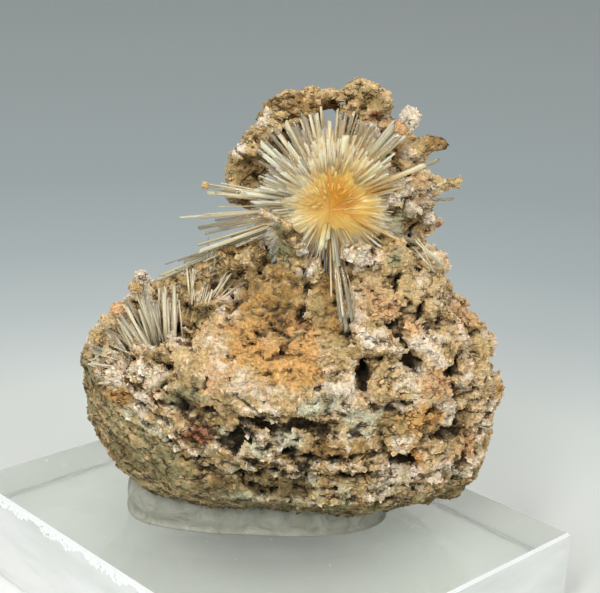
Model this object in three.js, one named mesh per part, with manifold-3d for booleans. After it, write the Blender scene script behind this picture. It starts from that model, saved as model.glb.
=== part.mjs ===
// An aragonite specimen on a clear block: a lumpy rock with a hood at its top, a ball of radiating
// needles inside the hood, a smaller fan of needles on the left shoulder, and the putty pad that holds
// the rock on the block. Millimetres, +Z up. The origin is the centre of the block's underside, X runs
// along the block's long side and Y along its short side.
import * as THREE from "three";
import { mergeVertices } from "three/addons/utils/BufferGeometryUtils.js";
import Module from "manifold-3d";

const wasm = await Module();
wasm.setup();

// Driving dimensions. The block has BLOCK's sizes in the object's own frame.
const BLOCK = { length: 61, width: 50, height: 12, chamfer: 0.35 };
// The specimen faces a corner of the block: its own right is turned this far from the long side.
const FACING_DEG = 45.83;
// Clear space that every piece of the specimen keeps to the one beside it
const GAP = 0.3;

// Everything below is in the specimen's frame: [u, v, z] with u to its right, v to its back and z up
// from the top of the block. An outline is seen from the front, as [u, z], clockwise from the left.
const ROCK_BODY = {
  middle: [3, 0, 16],
  outline: [
    [-23.3, 16.5], [-22.8, 20.5], [-20.6, 24.4], [-16, 28], [-10, 30.2], [-3, 31.4], [6, 32],
    [14, 32], [20, 31], [24, 27.6], [27.2, 22.5], [29, 17], [28.2, 12.2], [25.8, 8], [22, 4.8],
    [16.5, 2.4], [8, 2.1], [-2, 2.1], [-9, 2.4], [-15, 4.1], [-20.1, 7.9], [-22.7, 12],
  ],
  front: 17.2,
  back: 16.5,
  squareness: 2.3,
  detail: 6,
};
const HOOD = {
  middle: [7, 1, 41],
  outline: [
    [-3.4, 31], [-0.6, 34.5], [-1, 38.4], [-5.2, 40.6], [-5.6, 43.5], [-5.2, 46], [-3.2, 48.4],
    [-1.5, 50.8], [0.7, 52.8], [3.9, 53.9], [8.2, 54.6], [10.6, 54.1], [12, 52.8], [13.4, 50.6],
    [15.8, 48.4], [17, 45.6], [17.6, 42], [18, 38], [18.8, 33], [19, 28], [7, 24], [-4, 26],
  ],
  front: 6,
  back: 8.5,
  squareness: 2.2,
  detail: 4,
};
const SPRAY_CENTRE = [6.6, -4, 41.2];
const FAN_CENTRE = [-13, -8, 20.6];
// The hollow under the hood, which the main spray fills, and the recess of the left fan
const NICHE = { middle: [6, -6.5, 43.4], radii: [8.2, 8.5, 9.8], detail: 2, rough: 0.12 };
const FAN_RECESS = { middle: [-17.2, -10, 25.8], radii: [7.4, 6.6, 5.4], detail: 1, rough: 0.15 };
const FAN_ROOT = { middle: FAN_CENTRE, radii: [2.9, 2.6, 2.6], rough: 0.1 };

// Lumps on the rock's face, and the ledges that bend up towards both sides of a middle line
const LUMPS = [{ size: 7, height: 1.1 }, { size: 3.4, height: 0.7 }];
const LEDGES = { step: 4.6, depth: 0.7, bend: 0.014, middle: 2, wander: 0.8, wanderSize: 9 };
// Big swellings of the rock as [middle, radii]
const SWELLINGS = [
  [[6.5, -5, 29], [11, 6.4, 6.6]],
  [[15.4, -3.4, 30.6], [7, 7.4, 5.6]],
  [[-4, -11.8, 22.6], [8.4, 5, 5.6]],
  [[4, -12.2, 19.6], [9, 5.4, 6]],
  [[17, -10.8, 21.6], [8, 5.6, 6.8]],
  [[9.4, 8, 33.4], [9, 5.6, 7.4]],
  [[1.4, 6.4, 32], [7.6, 6, 5]],
  [[-12, 6.4, 21.6], [8.2, 7.4, 6.4]],
  [[18.8, 6.4, 22], [7.4, 7.6, 7.2]],
  [[2.6, 12.6, 15], [10.4, 6, 8.4]],
  [[-13, 9, 11], [6.6, 5.6, 5.6]],
  [[17.4, 11.4, 12], [7.4, 5.6, 6]],
];
// Knobs and lumps of crust as [u, v, z, radius]
const KNOBS_ON_HOOD = [
  [-3.9, -2.4, 46.8, 1.9], [-1.5, -2, 49.9, 1.9], [0.9, -1.6, 52, 1.7], [4.2, -1.6, 53, 1.7],
  [7.9, -1.6, 53.7, 2], [10.7, -1.6, 52.8, 1.9], [12.4, -1.8, 51.2, 1.5], [-4.7, -2.4, 41.8, 1.9],
  [-4.6, -1.6, 44.4, 1.6], [11.9, -0.4, 48.8, 2.1], [14.6, -3.8, 44.6, 2.6], [15, -5.2, 40.8, 2.5],
  [17.9, -2.6, 38.2, 1.7], [18.2, -2.8, 36, 1.9], [18.7, -2.6, 33.4, 2.1], [17, -1, 46.4, 1.9],
  [-1.6, 4.4, 47, 2.6], [3.6, 6.6, 48.6, 2.8], [10.6, 6.4, 47.4, 3], [15.6, 5, 41.6, 2.8],
  [0, 8, 41.6, 3], [8.4, 9, 42, 3.2],
];
const KNOBS_BELOW_NICHE = [
  [-0.5, -8.2, 41, 1.3], [0.6, -8.3, 39.9, 1.5], [2.2, -8.4, 38.7, 1.6], [4.2, -8.6, 37.3, 1.7],
  [2.4, -7.8, 34.8, 2.9], [10.7, -8.2, 35.6, 2.2], [14.4, -7.4, 35.4, 3.2], [5.2, -9.4, 34, 1.5],
];
const KNOBS_ON_RIGHT = [
  [16.7, -7.8, 30.4, 3.6], [20.8, -8.4, 26.4, 3.6], [17.2, -11.2, 26.4, 3.2], [23.6, -8, 21.4, 3.6],
  [12.2, -12.2, 27.4, 3.1], [15.4, -13.6, 22.4, 3.3], [9.4, -14.6, 20.6, 3], [15.4, -13.6, 16.8, 3.4],
  [10.8, -14.4, 12, 3.2], [21, -12, 18.4, 3], [19, -13, 12.2, 2.6], [24.2, -3.4, 25, 3.4],
  [25.8, -3, 19, 3], [24.8, -5.6, 14, 3], [22.4, -10, 13.2, 3],
];
const KNOBS_ON_LEFT = [
  [-4.2, -12.4, 25.8, 3], [-7.4, -12.8, 22.8, 3.2], [-1.6, -14.2, 22.6, 3], [-11.8, -13, 21, 3],
  [-15.6, -12.2, 19, 2.6], [-12.8, -11.9, 24.4, 1.9], [-10.9, -12, 25, 2.2],
  [-8.3, -14.4, 16.4, 3.2], [-8.7, -6, 30.8, 2.3], [-7.4, -4.2, 33, 1.7],
];
const ALL_KNOBS = [...KNOBS_ON_HOOD, ...KNOBS_BELOW_NICHE, ...KNOBS_ON_RIGHT, ...KNOBS_ON_LEFT];
// A knob's radii along u, v and z are these shares of its radius.
const KNOB_SHAPE = [1.1, 1, 0.9];
const KNOB_ROUGHNESS = 0.35;
// Knobs and hollows smaller than this are plain twenty-sided lumps.
const SMALL_KNOB = 3.5;
const SMALL_HOLLOW = 3;
// Crusted fingers that stick out to the right as [foot, tip, radius]
const FINGERS = [
  [[14.4, -3, 48.2], [17.6, -3, 48.6], 1.6],
  [[15.6, -4, 41.2], [19.6, -4, 43.9], 1.35],
  [[16.8, -3, 40.6], [19.6, -3, 39.4], 1.15],
];
const FINGER_ROUGHNESS = 0.18;
// Thin plate that juts out to the left below the notch of the hood
const PLATE = { middle: [-2.4, -7.4, 34.5], radii: [3.5, 2.2, 0.8], turn: [0, 0.2, 0] };
// Hollows cut into the rock as [middle, radii, turn about v in radians, turn about z in radians]
const HOLLOWS = [
  [[11.3, -17, 24.6], [1.9, 4.6, 1.9], 0, 0],
  [[-0.9, -18.4, 17.2], [3.3, 3.2, 1.7], 0.3, 0],
  [[4.4, -18, 18.3], [2.6, 3, 1.2], -0.1, 0],
  [[-6.5, -17.6, 12.4], [1.8, 2.8, 1.1], 0.25, 0],
  [[3.6, -18, 14.6], [2, 2.6, 0.9], 0.1, 0],
  [[24.2, -12.6, 16.6], [3.8, 4, 1.5], -0.25, 0.5],
  [[20.6, -13, 24.2], [6.6, 2.8, 0.7], 0.12, 0.55],
  [[21.6, -9.4, 29.6], [3.4, 2.6, 0.8], -0.1, 0.4],
  [[22.9, -12.6, 20.6], [0.9, 2.6, 1.1], 0, 0],
  [[-9.1, -16.8, 18.8], [2.3, 2, 0.9], 0.2, 0],
  [[0.4, -11.4, 30.4], [4.2, 3.2, 4.6], 0, 0],
  [[6.9, -13, 30], [2.8, 2.6, 3.8], 0, 0],
  [[-5.9, -6.4, 31.8], [1.8, 3, 2.2], 0, 0],
  [[14, -11.6, 32.6], [1.6, 2.2, 0.9], 0, 0],
  [[7.9, -10.8, 33.2], [1.2, 2.4, 4.8], 0, 0],
];
// The slot under the arch through which one sees the light behind
const WINDOW = { middle: [6.4, 5, 49.9], radii: [1, 11, 2.1], rough: 0.1, turn: [-0.166, 0, 0] };

// Needles of the main spray that reach a known place, as [tip, radius]
const SPRAY_NEEDLES = [
  [[-10.2, -6, 39.4], 0.32], [[-8.4, -7, 39.9], 0.4], [[-8.3, -5, 43.2], 0.5], [[-7.3, -6.4, 43.6], 0.4],
  [[-6.8, -7, 38.8], 0.35], [[-13.6, -7, 32.2], 0.4], [[-12.5, -8, 32.2], 0.4], [[-9.7, -7.6, 33.8], 0.35],
  [[-1, -6, 46.2], 0.45], [[0, -5.6, 47.6], 0.4], [[-1.4, -5.4, 43.7], 0.4], [[1.8, -5, 49.4], 0.4],
  [[3.4, -4.6, 50], 0.35], [[4.6, -4.2, 50.8], 0.35], [[6.6, -4, 51.2], 0.35], [[8, -4, 51.1], 0.35],
  [[9.4, -4.6, 50.6], 0.4], [[10.6, -5, 49.4], 0.35], [[14.9, -6.6, 51.6], 0.85], [[14, -8, 50.4], 0.5],
  [[18.5, -9.4, 48.2], 0.35], [[17, -9.6, 47.6], 0.35], [[12.6, -9.4, 39.6], 0.4], [[9.1, -13, 28.6], 0.35],
  [[8.4, -12.6, 32], 0.35], [[5.6, -13, 39], 0.55], [[8.9, -13.6, 42.4], 0.45], [[3.1, -12.6, 44.9], 0.45],
  [[6.9, -12.6, 47.3], 0.45],
];
const SPRAY_CORE = { middle: SPRAY_CENTRE, radii: [3.1, 2.9, 3.1], rough: 0.12 };
const SPRAY_TIP_KNOB = { middle: [14.8, -6.5, 51.4], radii: [1.25, 1.1, 1.3], rough: 0.25 };
// Shorter needles that fill the niche in all directions, from one share of the way to its wall to
// another; each is turned on from the last by the golden angle.
const FILL_NEEDLES = { count: 25, radius: 0.38, shares: [0.7, 0.94] };
const GOLDEN_ANGLE = Math.PI * (3 - Math.sqrt(5));
// Needles of the left fan as [tip, radius]; the crusted ones end in a knob.
const FAN_NEEDLES = [
  [[-13.2, -9, 31], 0.4], [[-12.2, -9.6, 31.4], 0.4], [[-11.3, -9.8, 31.2], 0.4], [[-10.4, -9, 30.6], 0.35],
  [[-16.4, -12, 29.2], 0.35], [[-19.4, -11.6, 26], 0.35], [[-21, -10.6, 22.9], 0.35],
  [[-20.4, -12.2, 21.6], 0.35], [[-18.8, -13.4, 21.6], 0.3], [[-18.2, -7, 28], 0.35],
  [[-20.2, -8, 25.4], 0.35],
];
const CRUSTED_FAN_NEEDLES = [
  [[-14.8, -7.4, 31.8], 0.6], [[-15.7, -9, 30.9], 0.6], [[-17, -9.6, 29.2], 0.5],
  [[-18.4, -10.6, 27.4], 0.5], [[-20.4, -9.6, 24.9], 0.5],
];
const FAN_KNOB = [1.05, 1.05, 1.26];
const NEEDLE_SIDES = 6;
const NEEDLE_POINT = 1.6;

// The putty reaches up past its contact with the rock, which cuts it back.
const PUTTY = { middle: [-0.9, 0.4, 0], radii: [16.8, 9.3, 4.4], squareness: 3, detail: 2, rough: 0.07 };

// Vertices this close are one, and an outline's curve is read at this many places.
const MERGE_MM = 1e-4;
const OUTLINE_SAMPLES = 400;
// How many waves of noise go round a boulder of any size
const BOULDER_WAVES = 1.7;

// A repeatable number from 0 to 1 for a corner of the noise lattice
function cornerValue(x, y, z) {
  const wave = Math.sin(x * 127.1 + y * 311.7 + z * 74.7) * 43758.5453;
  return wave - Math.floor(wave);
}

// Smooth noise from -1 to 1: the values of the eight corners around a point, blended
function noise(x, y, z) {
  const low = [Math.floor(x), Math.floor(y), Math.floor(z)];
  const [fx, fy, fz] = [x - low[0], y - low[1], z - low[2]].map((t) => t * t * (3 - 2 * t));
  let sum = 0;
  for (const dx of [0, 1])
    for (const dy of [0, 1])
      for (const dz of [0, 1]) {
        const weight = (dx ? fx : 1 - fx) * (dy ? fy : 1 - fy) * (dz ? fz : 1 - fz);
        sum += weight * cornerValue(low[0] + dx, low[1] + dy, low[2] + dz);
      }
  return 2 * sum - 1;
}

function solidOf(geometry) {
  for (const attribute of ["normal", "uv"]) geometry.deleteAttribute(attribute);
  const merged = mergeVertices(geometry, MERGE_MM);
  return new wasm.Manifold(
    new wasm.Mesh({
      numProp: 3,
      vertProperties: new Float32Array(merged.attributes.position.array),
      triVerts: new Uint32Array(merged.index.array),
    }),
  );
}

function joinAll(solids) {
  return solids.reduce((whole, piece) => whole.add(piece));
}

function cutAll(solid, cutters) {
  return cutters.reduce((rest, cutter) => rest.subtract(cutter), solid);
}

// Moves every vertex of a sphere of radius 1 to where place(x, y, z) says
function reshapedSphere(detail, place) {
  const geometry = new THREE.IcosahedronGeometry(1, detail);
  const position = geometry.attributes.position;
  for (let i = 0; i < position.count; i++)
    position.setXYZ(i, ...place(position.getX(i), position.getY(i), position.getZ(i)));
  return geometry;
}

// The distance from the middle to a smooth closed outline, as a function of the angle
function outlineRadius(outline, middle) {
  const curve = new THREE.CatmullRomCurve3(
    outline.map(([u, z]) => new THREE.Vector3(u - middle[0], 0, z - middle[2])),
    true,
  );
  const samples = curve
    .getPoints(OUTLINE_SAMPLES)
    .map((p) => ({ angle: Math.atan2(p.z, p.x), radius: Math.hypot(p.x, p.z) }))
    .sort((a, b) => a.angle - b.angle);
  return (angle) => {
    const next = samples.findIndex((sample) => sample.angle > angle);
    const after = samples[Math.max(next, 0)];
    const before = samples.at(Math.max(next, 0) - 1);
    const span = (after.angle - before.angle + 2 * Math.PI) % (2 * Math.PI);
    const along = (angle - before.angle + 2 * Math.PI) % (2 * Math.PI);
    return before.radius + (after.radius - before.radius) * (span ? along / span : 0);
  };
}

function noiseAt(u, v, z, size) {
  return noise(u / size, v / size, z / size);
}

// How far the rock's face stands out: the lumps, and a step out and back at each ledge
function ruggedness(u, v, z) {
  const lumps = LUMPS.reduce((sum, { size, height }) => sum + height * noiseAt(u, v, z, size), 0);
  const bent = z - LEDGES.bend * (u - LEDGES.middle) ** 2;
  const level = (bent + LEDGES.wander * noiseAt(u, v, z, LEDGES.wanderSize)) / LEDGES.step;
  return lumps + LEDGES.depth * (level - Math.floor(level) - 0.5);
}

// A rounded rugged body: each direction of a sphere is stretched to the outline across and to the
// front or back depth along v.
function outlineBody({ middle, outline, front, back, squareness, detail }, grow) {
  const radiusAt = outlineRadius(outline, middle);
  const place = (x, y, z) => {
    const across = Math.hypot(x, z);
    const fullness = (Math.abs(y) ** squareness + across ** squareness) ** (-1 / squareness);
    const angle = Math.atan2(z, x);
    const reach = radiusAt(angle) * across * fullness;
    const u = middle[0] + reach * Math.cos(angle);
    const v = middle[1] + (y < 0 ? front : back) * y * fullness;
    const h = middle[2] + reach * Math.sin(angle);
    const push = grow + ruggedness(u, v, h);
    return [u + x * push, v + y * push, h + z * push];
  };
  return solidOf(reshapedSphere(detail, place));
}

// A rough round stone. A negative grow makes it smaller, as for a hollow that has to keep its gap.
function boulder({ middle, radii, detail = 1, rough = 0.2, turn = [0, 0, 0] }, grow = 0) {
  const place = (x, y, z) => {
    const [p, q, r] = [x, y, z].map((t, axis) => t * BOULDER_WAVES + middle[axis]);
    const swell = 1 + rough * noise(p, q, r);
    return [x, y, z].map((t, axis) => t * (radii[axis] * swell + grow));
  };
  const geometry = reshapedSphere(detail, place);
  geometry.rotateX(turn[0]).rotateY(turn[1]).rotateZ(turn[2]).translate(...middle);
  return solidOf(geometry);
}

// Turns a geometry built along +Y so that it starts at one point and runs towards another
function aim(geometry, from, towards) {
  const direction = towards.clone().sub(from).normalize();
  const turn = new THREE.Quaternion().setFromUnitVectors(new THREE.Vector3(0, 1, 0), direction);
  return geometry.applyQuaternion(turn).translate(from.x, from.y, from.z);
}

// A crusted finger: a capsule with a rough skin
function finger([foot, tip, radius], grow) {
  const [from, to] = [new THREE.Vector3(...foot), new THREE.Vector3(...tip)];
  const length = from.distanceTo(to);
  const geometry = new THREE.CapsuleGeometry(radius + grow, length, 1, 7, 1);
  const position = geometry.attributes.position;
  for (let i = 0; i < position.count; i++) {
    const [x, y, z] = [position.getX(i), position.getY(i), position.getZ(i)];
    const swell = 1 + FINGER_ROUGHNESS * noise(x + foot[0], y + foot[2], z);
    position.setXYZ(i, x * swell, y, z * swell);
  }
  return solidOf(aim(geometry.translate(0, length / 2, 0), from, to));
}

// A knob of crust, turned by angles that its own place gives, so that no two are alike
function knob([u, v, z, radius], grow) {
  const radii = KNOB_SHAPE.map((share) => share * radius);
  const detail = radius < SMALL_KNOB ? 0 : 1;
  return boulder({ middle: [u, v, z], radii, detail, rough: KNOB_ROUGHNESS, turn: [u, v, z] }, grow);
}

function hollow([middle, radii, aroundV, aroundZ], grow) {
  const detail = Math.min(...radii) < SMALL_HOLLOW ? 0 : 1;
  return boulder({ middle, radii, detail, turn: [0, aroundV, aroundZ] }, -grow);
}

// A six-sided needle with a point
function needle(centre, tip, radius) {
  const [from, to] = [new THREE.Vector3(...centre), new THREE.Vector3(...tip)];
  const length = from.distanceTo(to);
  const profile = [[0, 0], [radius, 0], [radius, length - NEEDLE_POINT], [0, length]];
  const points = profile.map(([x, y]) => new THREE.Vector2(x, y));
  return solidOf(aim(new THREE.LatheGeometry(points, NEEDLE_SIDES), from, to));
}

// The rock, grown on all sides by a distance: with 0 the rock itself, with GAP its clearance
function rockSolid(grow) {
  const swellings = SWELLINGS.map(([middle, radii]) => boulder({ middle, radii }, grow));
  const whole = joinAll([outlineBody(ROCK_BODY, grow), outlineBody(HOOD, grow), ...swellings]);
  const opened = cutAll(whole, [boulder(NICHE, -grow), boulder(FAN_RECESS, -grow)]);
  const knobs = ALL_KNOBS.map((place) => knob(place, grow));
  const fingers = FINGERS.map((place) => finger(place, grow));
  const knobbed = joinAll([opened, ...knobs, ...fingers, boulder(PLATE, grow)]);
  const hollows = HOLLOWS.map((place) => hollow(place, grow));
  return cutAll(knobbed, [boulder(WINDOW, -grow), ...hollows, boulder(FAN_ROOT, GAP - grow)]);
}

// Where a ray from the spray's centre meets the niche's wall, as a distance
function distanceToNiche(direction) {
  const start = SPRAY_CENTRE.map((c, axis) => (c - NICHE.middle[axis]) / NICHE.radii[axis]);
  const step = direction.map((d, axis) => d / NICHE.radii[axis]);
  const dot = (p, q) => p[0] * q[0] + p[1] * q[1] + p[2] * q[2];
  const [a, b, c] = [dot(step, step), dot(start, step), dot(start, start) - 1];
  return (-b + Math.sqrt(b * b - a * c)) / a;
}

// Needles spread evenly over all directions, as the seeds of a sunflower are over its disc
function fillNeedles() {
  const { count, radius, shares } = FILL_NEEDLES;
  const needles = [];
  for (let i = 0; i < count; i++) {
    const height = 1 - (2 * i + 1) / count;
    const ring = Math.sqrt(1 - height * height);
    const angle = i * GOLDEN_ANGLE;
    const direction = [ring * Math.cos(angle), height, ring * Math.sin(angle)];
    const share = shares[0] + (shares[1] - shares[0]) * cornerValue(i, 3, 8);
    const length = distanceToNiche(direction) * share;
    const tip = SPRAY_CENTRE.map((c, axis) => c + direction[axis] * length);
    needles.push(needle(SPRAY_CENTRE, tip, radius));
  }
  return needles;
}

function mainSpraySolid() {
  const long = SPRAY_NEEDLES.map(([tip, radius]) => needle(SPRAY_CENTRE, tip, radius));
  return joinAll([boulder(SPRAY_CORE), ...long, ...fillNeedles(), boulder(SPRAY_TIP_KNOB)]);
}

// The largest of a solid's bodies: what the rock parts from a spray's core is dropped
function largestBody(solid) {
  return solid.decompose().reduce((best, body) => (body.volume() > best.volume() ? body : best));
}

function leftSpraySolid() {
  const tips = [...FAN_NEEDLES, ...CRUSTED_FAN_NEEDLES];
  const needles = tips.map(([tip, radius]) => needle(FAN_CENTRE, tip, radius));
  const knobs = CRUSTED_FAN_NEEDLES.map(([tip]) => boulder({ middle: tip, radii: FAN_KNOB, detail: 0 }));
  return joinAll([boulder(FAN_ROOT), ...needles, ...knobs]);
}

// The putty: a steep-sided pad with a flat underside, pressed up around the foot of the rock
function puttySolid() {
  const { middle, radii, squareness, detail, rough } = PUTTY;
  const place = (x, y, z) => {
    const sum = Math.abs(x) ** squareness + Math.abs(y) ** squareness + Math.abs(z) ** squareness;
    const swell = sum ** (-1 / squareness) * (1 + rough * noise(x * 2 + 4, y * 2, z * 2));
    return [x * radii[0] * swell, y * radii[1] * swell, Math.max(z * radii[2] * swell, 0)];
  };
  return solidOf(reshapedSphere(detail, place).translate(...middle));
}

// The clear block with its narrow polished chamfers
function blockGeometry() {
  const { length, width, height, chamfer } = BLOCK;
  const [a, b] = [length / 2 - chamfer, width / 2 - chamfer];
  const corners = [[-a, -b], [a, -b], [a, b], [-a, b]].map(([x, y]) => new THREE.Vector2(x, y));
  const geometry = new THREE.ExtrudeGeometry(new THREE.Shape(corners), {
    depth: height - 2 * chamfer,
    bevelThickness: chamfer,
    bevelSize: chamfer,
    bevelSegments: 1,
  });
  return geometry.translate(0, 0, chamfer);
}

function meshOf(name, solid, material) {
  const { vertProperties, triVerts } = solid.getMesh();
  const geometry = new THREE.BufferGeometry();
  geometry.setAttribute("position", new THREE.BufferAttribute(vertProperties, 3));
  geometry.setIndex(new THREE.BufferAttribute(triVerts, 1));
  geometry.computeVertexNormals();
  const mesh = new THREE.Mesh(geometry, material);
  mesh.name = name;
  return mesh;
}

const clearPlastic = new THREE.MeshStandardMaterial({
  color: 0xeef2f0,
  roughness: 0.05,
  transparent: true,
  opacity: 0.35,
});
const puttyWhite = new THREE.MeshStandardMaterial({ color: 0xd2d0c4, roughness: 0.7 });
const stone = new THREE.MeshStandardMaterial({ color: 0xab9568, roughness: 0.95 });
const honeyCrystal = new THREE.MeshStandardMaterial({ color: 0xe8cf9a, roughness: 0.15 });
const clearCrystal = new THREE.MeshStandardMaterial({ color: 0xd9d4c2, roughness: 0.15 });

const rock = rockSolid(0);
const rockClearance = rockSolid(GAP);

const specimen = new THREE.Group();
specimen.position.z = BLOCK.height;
specimen.rotation.z = THREE.MathUtils.degToRad(FACING_DEG);
specimen.add(
  meshOf("mounting_putty", puttySolid().subtract(rockClearance), puttyWhite),
  meshOf("matrix_rock", rock, stone),
  meshOf("main_spray", largestBody(mainSpraySolid().subtract(rockClearance)), honeyCrystal),
  meshOf("left_spray", largestBody(leftSpraySolid().subtract(rockClearance)), clearCrystal),
);

const group = new THREE.Group();
group.add(meshOf("acrylic_block", solidOf(blockGeometry()), clearPlastic), specimen);
export default group;
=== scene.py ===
"""The looks of an aragonite specimen on its clear block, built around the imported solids.

The specimen's own pieces are worked out in millimetres in the frame of someone who looks at its front, with
u to the right, v away and z up from the block's top, and are then turned into the object's frame.
"""
import itertools
import math

import bpy
import numpy as np
import openvdb
from mathutils import Matrix, Vector


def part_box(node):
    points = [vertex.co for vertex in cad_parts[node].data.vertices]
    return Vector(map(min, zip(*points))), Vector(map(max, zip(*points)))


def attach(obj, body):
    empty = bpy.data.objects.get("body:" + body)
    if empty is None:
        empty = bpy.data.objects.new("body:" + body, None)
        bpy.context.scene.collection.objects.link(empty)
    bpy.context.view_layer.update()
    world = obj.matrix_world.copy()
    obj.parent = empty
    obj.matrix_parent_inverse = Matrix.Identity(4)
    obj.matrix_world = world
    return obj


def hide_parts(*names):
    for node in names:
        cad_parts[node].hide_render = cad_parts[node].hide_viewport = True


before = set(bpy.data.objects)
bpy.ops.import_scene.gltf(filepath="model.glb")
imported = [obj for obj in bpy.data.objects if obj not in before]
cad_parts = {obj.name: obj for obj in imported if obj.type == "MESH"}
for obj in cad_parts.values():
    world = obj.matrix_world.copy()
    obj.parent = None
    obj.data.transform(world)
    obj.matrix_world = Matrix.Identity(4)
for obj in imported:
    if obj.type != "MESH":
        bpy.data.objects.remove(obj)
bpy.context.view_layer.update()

# The block: a slab sawn from clear acrylic sheet, its top polished, its sides left sawn and its edges broken
# by a narrow ground chamfer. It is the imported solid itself. A few specks of dust lie on its top, and its top
# edge at the front left is worn.
FACING = math.radians(45.83)
MM = 0.001
ACRYLIC_IOR = 1.49
# A side of the block faces along an axis by more than this share, and a chamfer by less
SQUARE_ON = 0.9
DUST_SPECKS, DUST_MARGIN = 70, 1.5
CHIPS, WORN_DEPTH = 1500, 1.5
block_low, block_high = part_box("acrylic_block")


def linear(red, green, blue):
    """A colour as the eye reads it, 0 to 255, as the light value that a shader takes."""
    shares = np.array([red, green, blue]) / 255
    values = np.where(shares <= 0.04045, shares / 12.92, ((shares + 0.055) / 1.055) ** 2.4)
    return (*values, 1.0)


def new_material(name, roughness, tint=None, **sockets):
    """A material whose Principled shader has these plain values; returns it with its tree and shader."""
    material = bpy.data.materials.new(name)
    material.use_nodes = True
    tree = material.node_tree
    shader = tree.nodes["Principled BSDF"]
    shader.inputs["Roughness"].default_value = roughness
    if tint:
        shader.inputs["Base Color"].default_value = linear(*tint)
    for socket, value in sockets.items():
        shader.inputs[socket.replace("_", " ")].default_value = value
    return material, tree, shader


def node(tree, kind, inputs=None, **settings):
    """A node of that kind with its settings made and its inputs linked to sockets or set to values."""
    made = tree.nodes.new(kind)
    for setting, value in settings.items():
        setattr(made, setting, value)
    for socket, value in (inputs or {}).items():
        if isinstance(value, bpy.types.NodeSocket):
            tree.links.new(value, made.inputs[socket])
        else:
            made.inputs[socket].default_value = value
    return made


def own_place(tree):
    """A piece's own coordinates, which stay with it wherever it is."""
    return node(tree, "ShaderNodeTexCoord").outputs["Object"]


def noise_of(tree, place, scale, detail, **inputs):
    """The value and the colour of a noise over those coordinates."""
    inputs = {"Vector": place, "Scale": scale, "Detail": detail, **inputs}
    return node(tree, "ShaderNodeTexNoise", inputs).outputs


def ranged(tree, value, start, end, least=0.0, most=1.0, **settings):
    """A value that runs from start to end, mapped onto least to most and held at both."""
    inputs = {"Value": value, "From Min": start, "From Max": end, "To Min": least, "To Max": most}
    return node(tree, "ShaderNodeMapRange", inputs, **settings).outputs[0]


def vector_math(tree, operation, *values):
    """The vector that a Vector Math node makes of these sockets and values."""
    return node(tree, "ShaderNodeVectorMath", dict(enumerate(values)), operation=operation).outputs[0]


def ramped(tree, value, stops):
    """The colour of a ramp at that value. Each stop is its place and its colour as the eye reads it."""
    ramp = node(tree, "ShaderNodeValToRGB", {0: value})
    elements = ramp.color_ramp.elements
    for index, (position, tint) in enumerate(stops):
        stop = elements[index] if index < 2 else elements.new(position)
        stop.position = position
        stop.color = linear(*tint)
    return ramp.outputs[0]


def turned(ways, angle=FACING):
    """Vectors turned about the upright by that angle."""
    u, v, z = ways.T
    cosine, sine = math.cos(angle), math.sin(angle)
    return np.stack([u * cosine - v * sine, u * sine + v * cosine, z], 1)


def to_object(places):
    """Turns places in the specimen's millimetres by the facing angle and lifts them onto the block."""
    return turned(places) * MM + [0, 0, block_high.z]


def to_specimen(places):
    """The way back: from metres in the object's frame to the specimen's millimetres."""
    x, y, z = places.T
    return turned(np.stack([x / MM, y / MM, (z - block_high.z) / MM], 1), -FACING)


def placed(name, data):
    """An object with that data, put into the scene."""
    made = bpy.data.objects.new(name, data)
    bpy.context.scene.collection.objects.link(made)
    return made


def new_piece(name, points, faces, material, smooth=True, colours=None):
    """A mesh from points in the specimen's millimetres and faces, riding on the one body. Smooth is one
    answer for all faces or one for each. The colours, three light values to a point and at times a fourth
    for how cracked it is, are kept as the attribute named tone."""
    mesh = bpy.data.meshes.new(name)
    rows = faces.tolist() if isinstance(faces, np.ndarray) else faces
    mesh.from_pydata(to_object(points).tolist(), [], rows)
    mesh.materials.append(material)
    mesh.polygons.foreach_set("use_smooth", np.broadcast_to(smooth, len(mesh.polygons)).tolist())
    if colours is not None:
        layer = mesh.attributes.new("tone", "FLOAT_COLOR", "POINT")
        filled_up = np.column_stack([colours, np.ones(len(colours))])[:, :4]
        layer.data.foreach_set("color", filled_up.astype(np.float32).ravel())
    piece = placed(name, mesh)
    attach(piece, "root")
    return piece


LUMP_CORNERS = np.array([(1, 0, 0), (-1, 0, 0), (0, 1, 0), (0, -1, 0), (0, 0, 1), (0, 0, -1)])
LUMP_FACES = np.array([
    (0, 2, 4), (2, 1, 4), (1, 3, 4), (3, 0, 4), (2, 0, 5), (1, 2, 5), (3, 1, 5), (0, 3, 5)])


def lumps(seats, radii, seed, facing=None, thick=1.0):
    """Closed eight-sided lumps, one to a seat: an octahedron's corners, drawn in and out at random and
    turned anyhow. Facing gives each its own upright, along which it is only thick times as tall: a flake."""
    chance = np.random.default_rng(seed)
    count = len(seats)
    stretch = chance.uniform(0.65, 1.35, (count, 6, 1)) * [[[1]] * 4 + [[thick]] * 2]
    upright = chance.normal(size=(count, 3)) if facing is None else facing
    across = np.cross(upright, chance.normal(size=(count, 3)))
    axes = np.stack([across, np.cross(upright, across), upright], 1)
    axes /= np.linalg.norm(axes, axis=2, keepdims=True)
    shape = LUMP_CORNERS[None] * stretch * radii[:, None, None]
    points = np.einsum("nki,nij->nkj", shape, axes) + seats[:, None]
    first_corner = len(LUMP_CORNERS) * np.arange(count)[:, None, None]
    return points.reshape(-1, 3), (LUMP_FACES[None] + first_corner).reshape(-1, 3)


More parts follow.
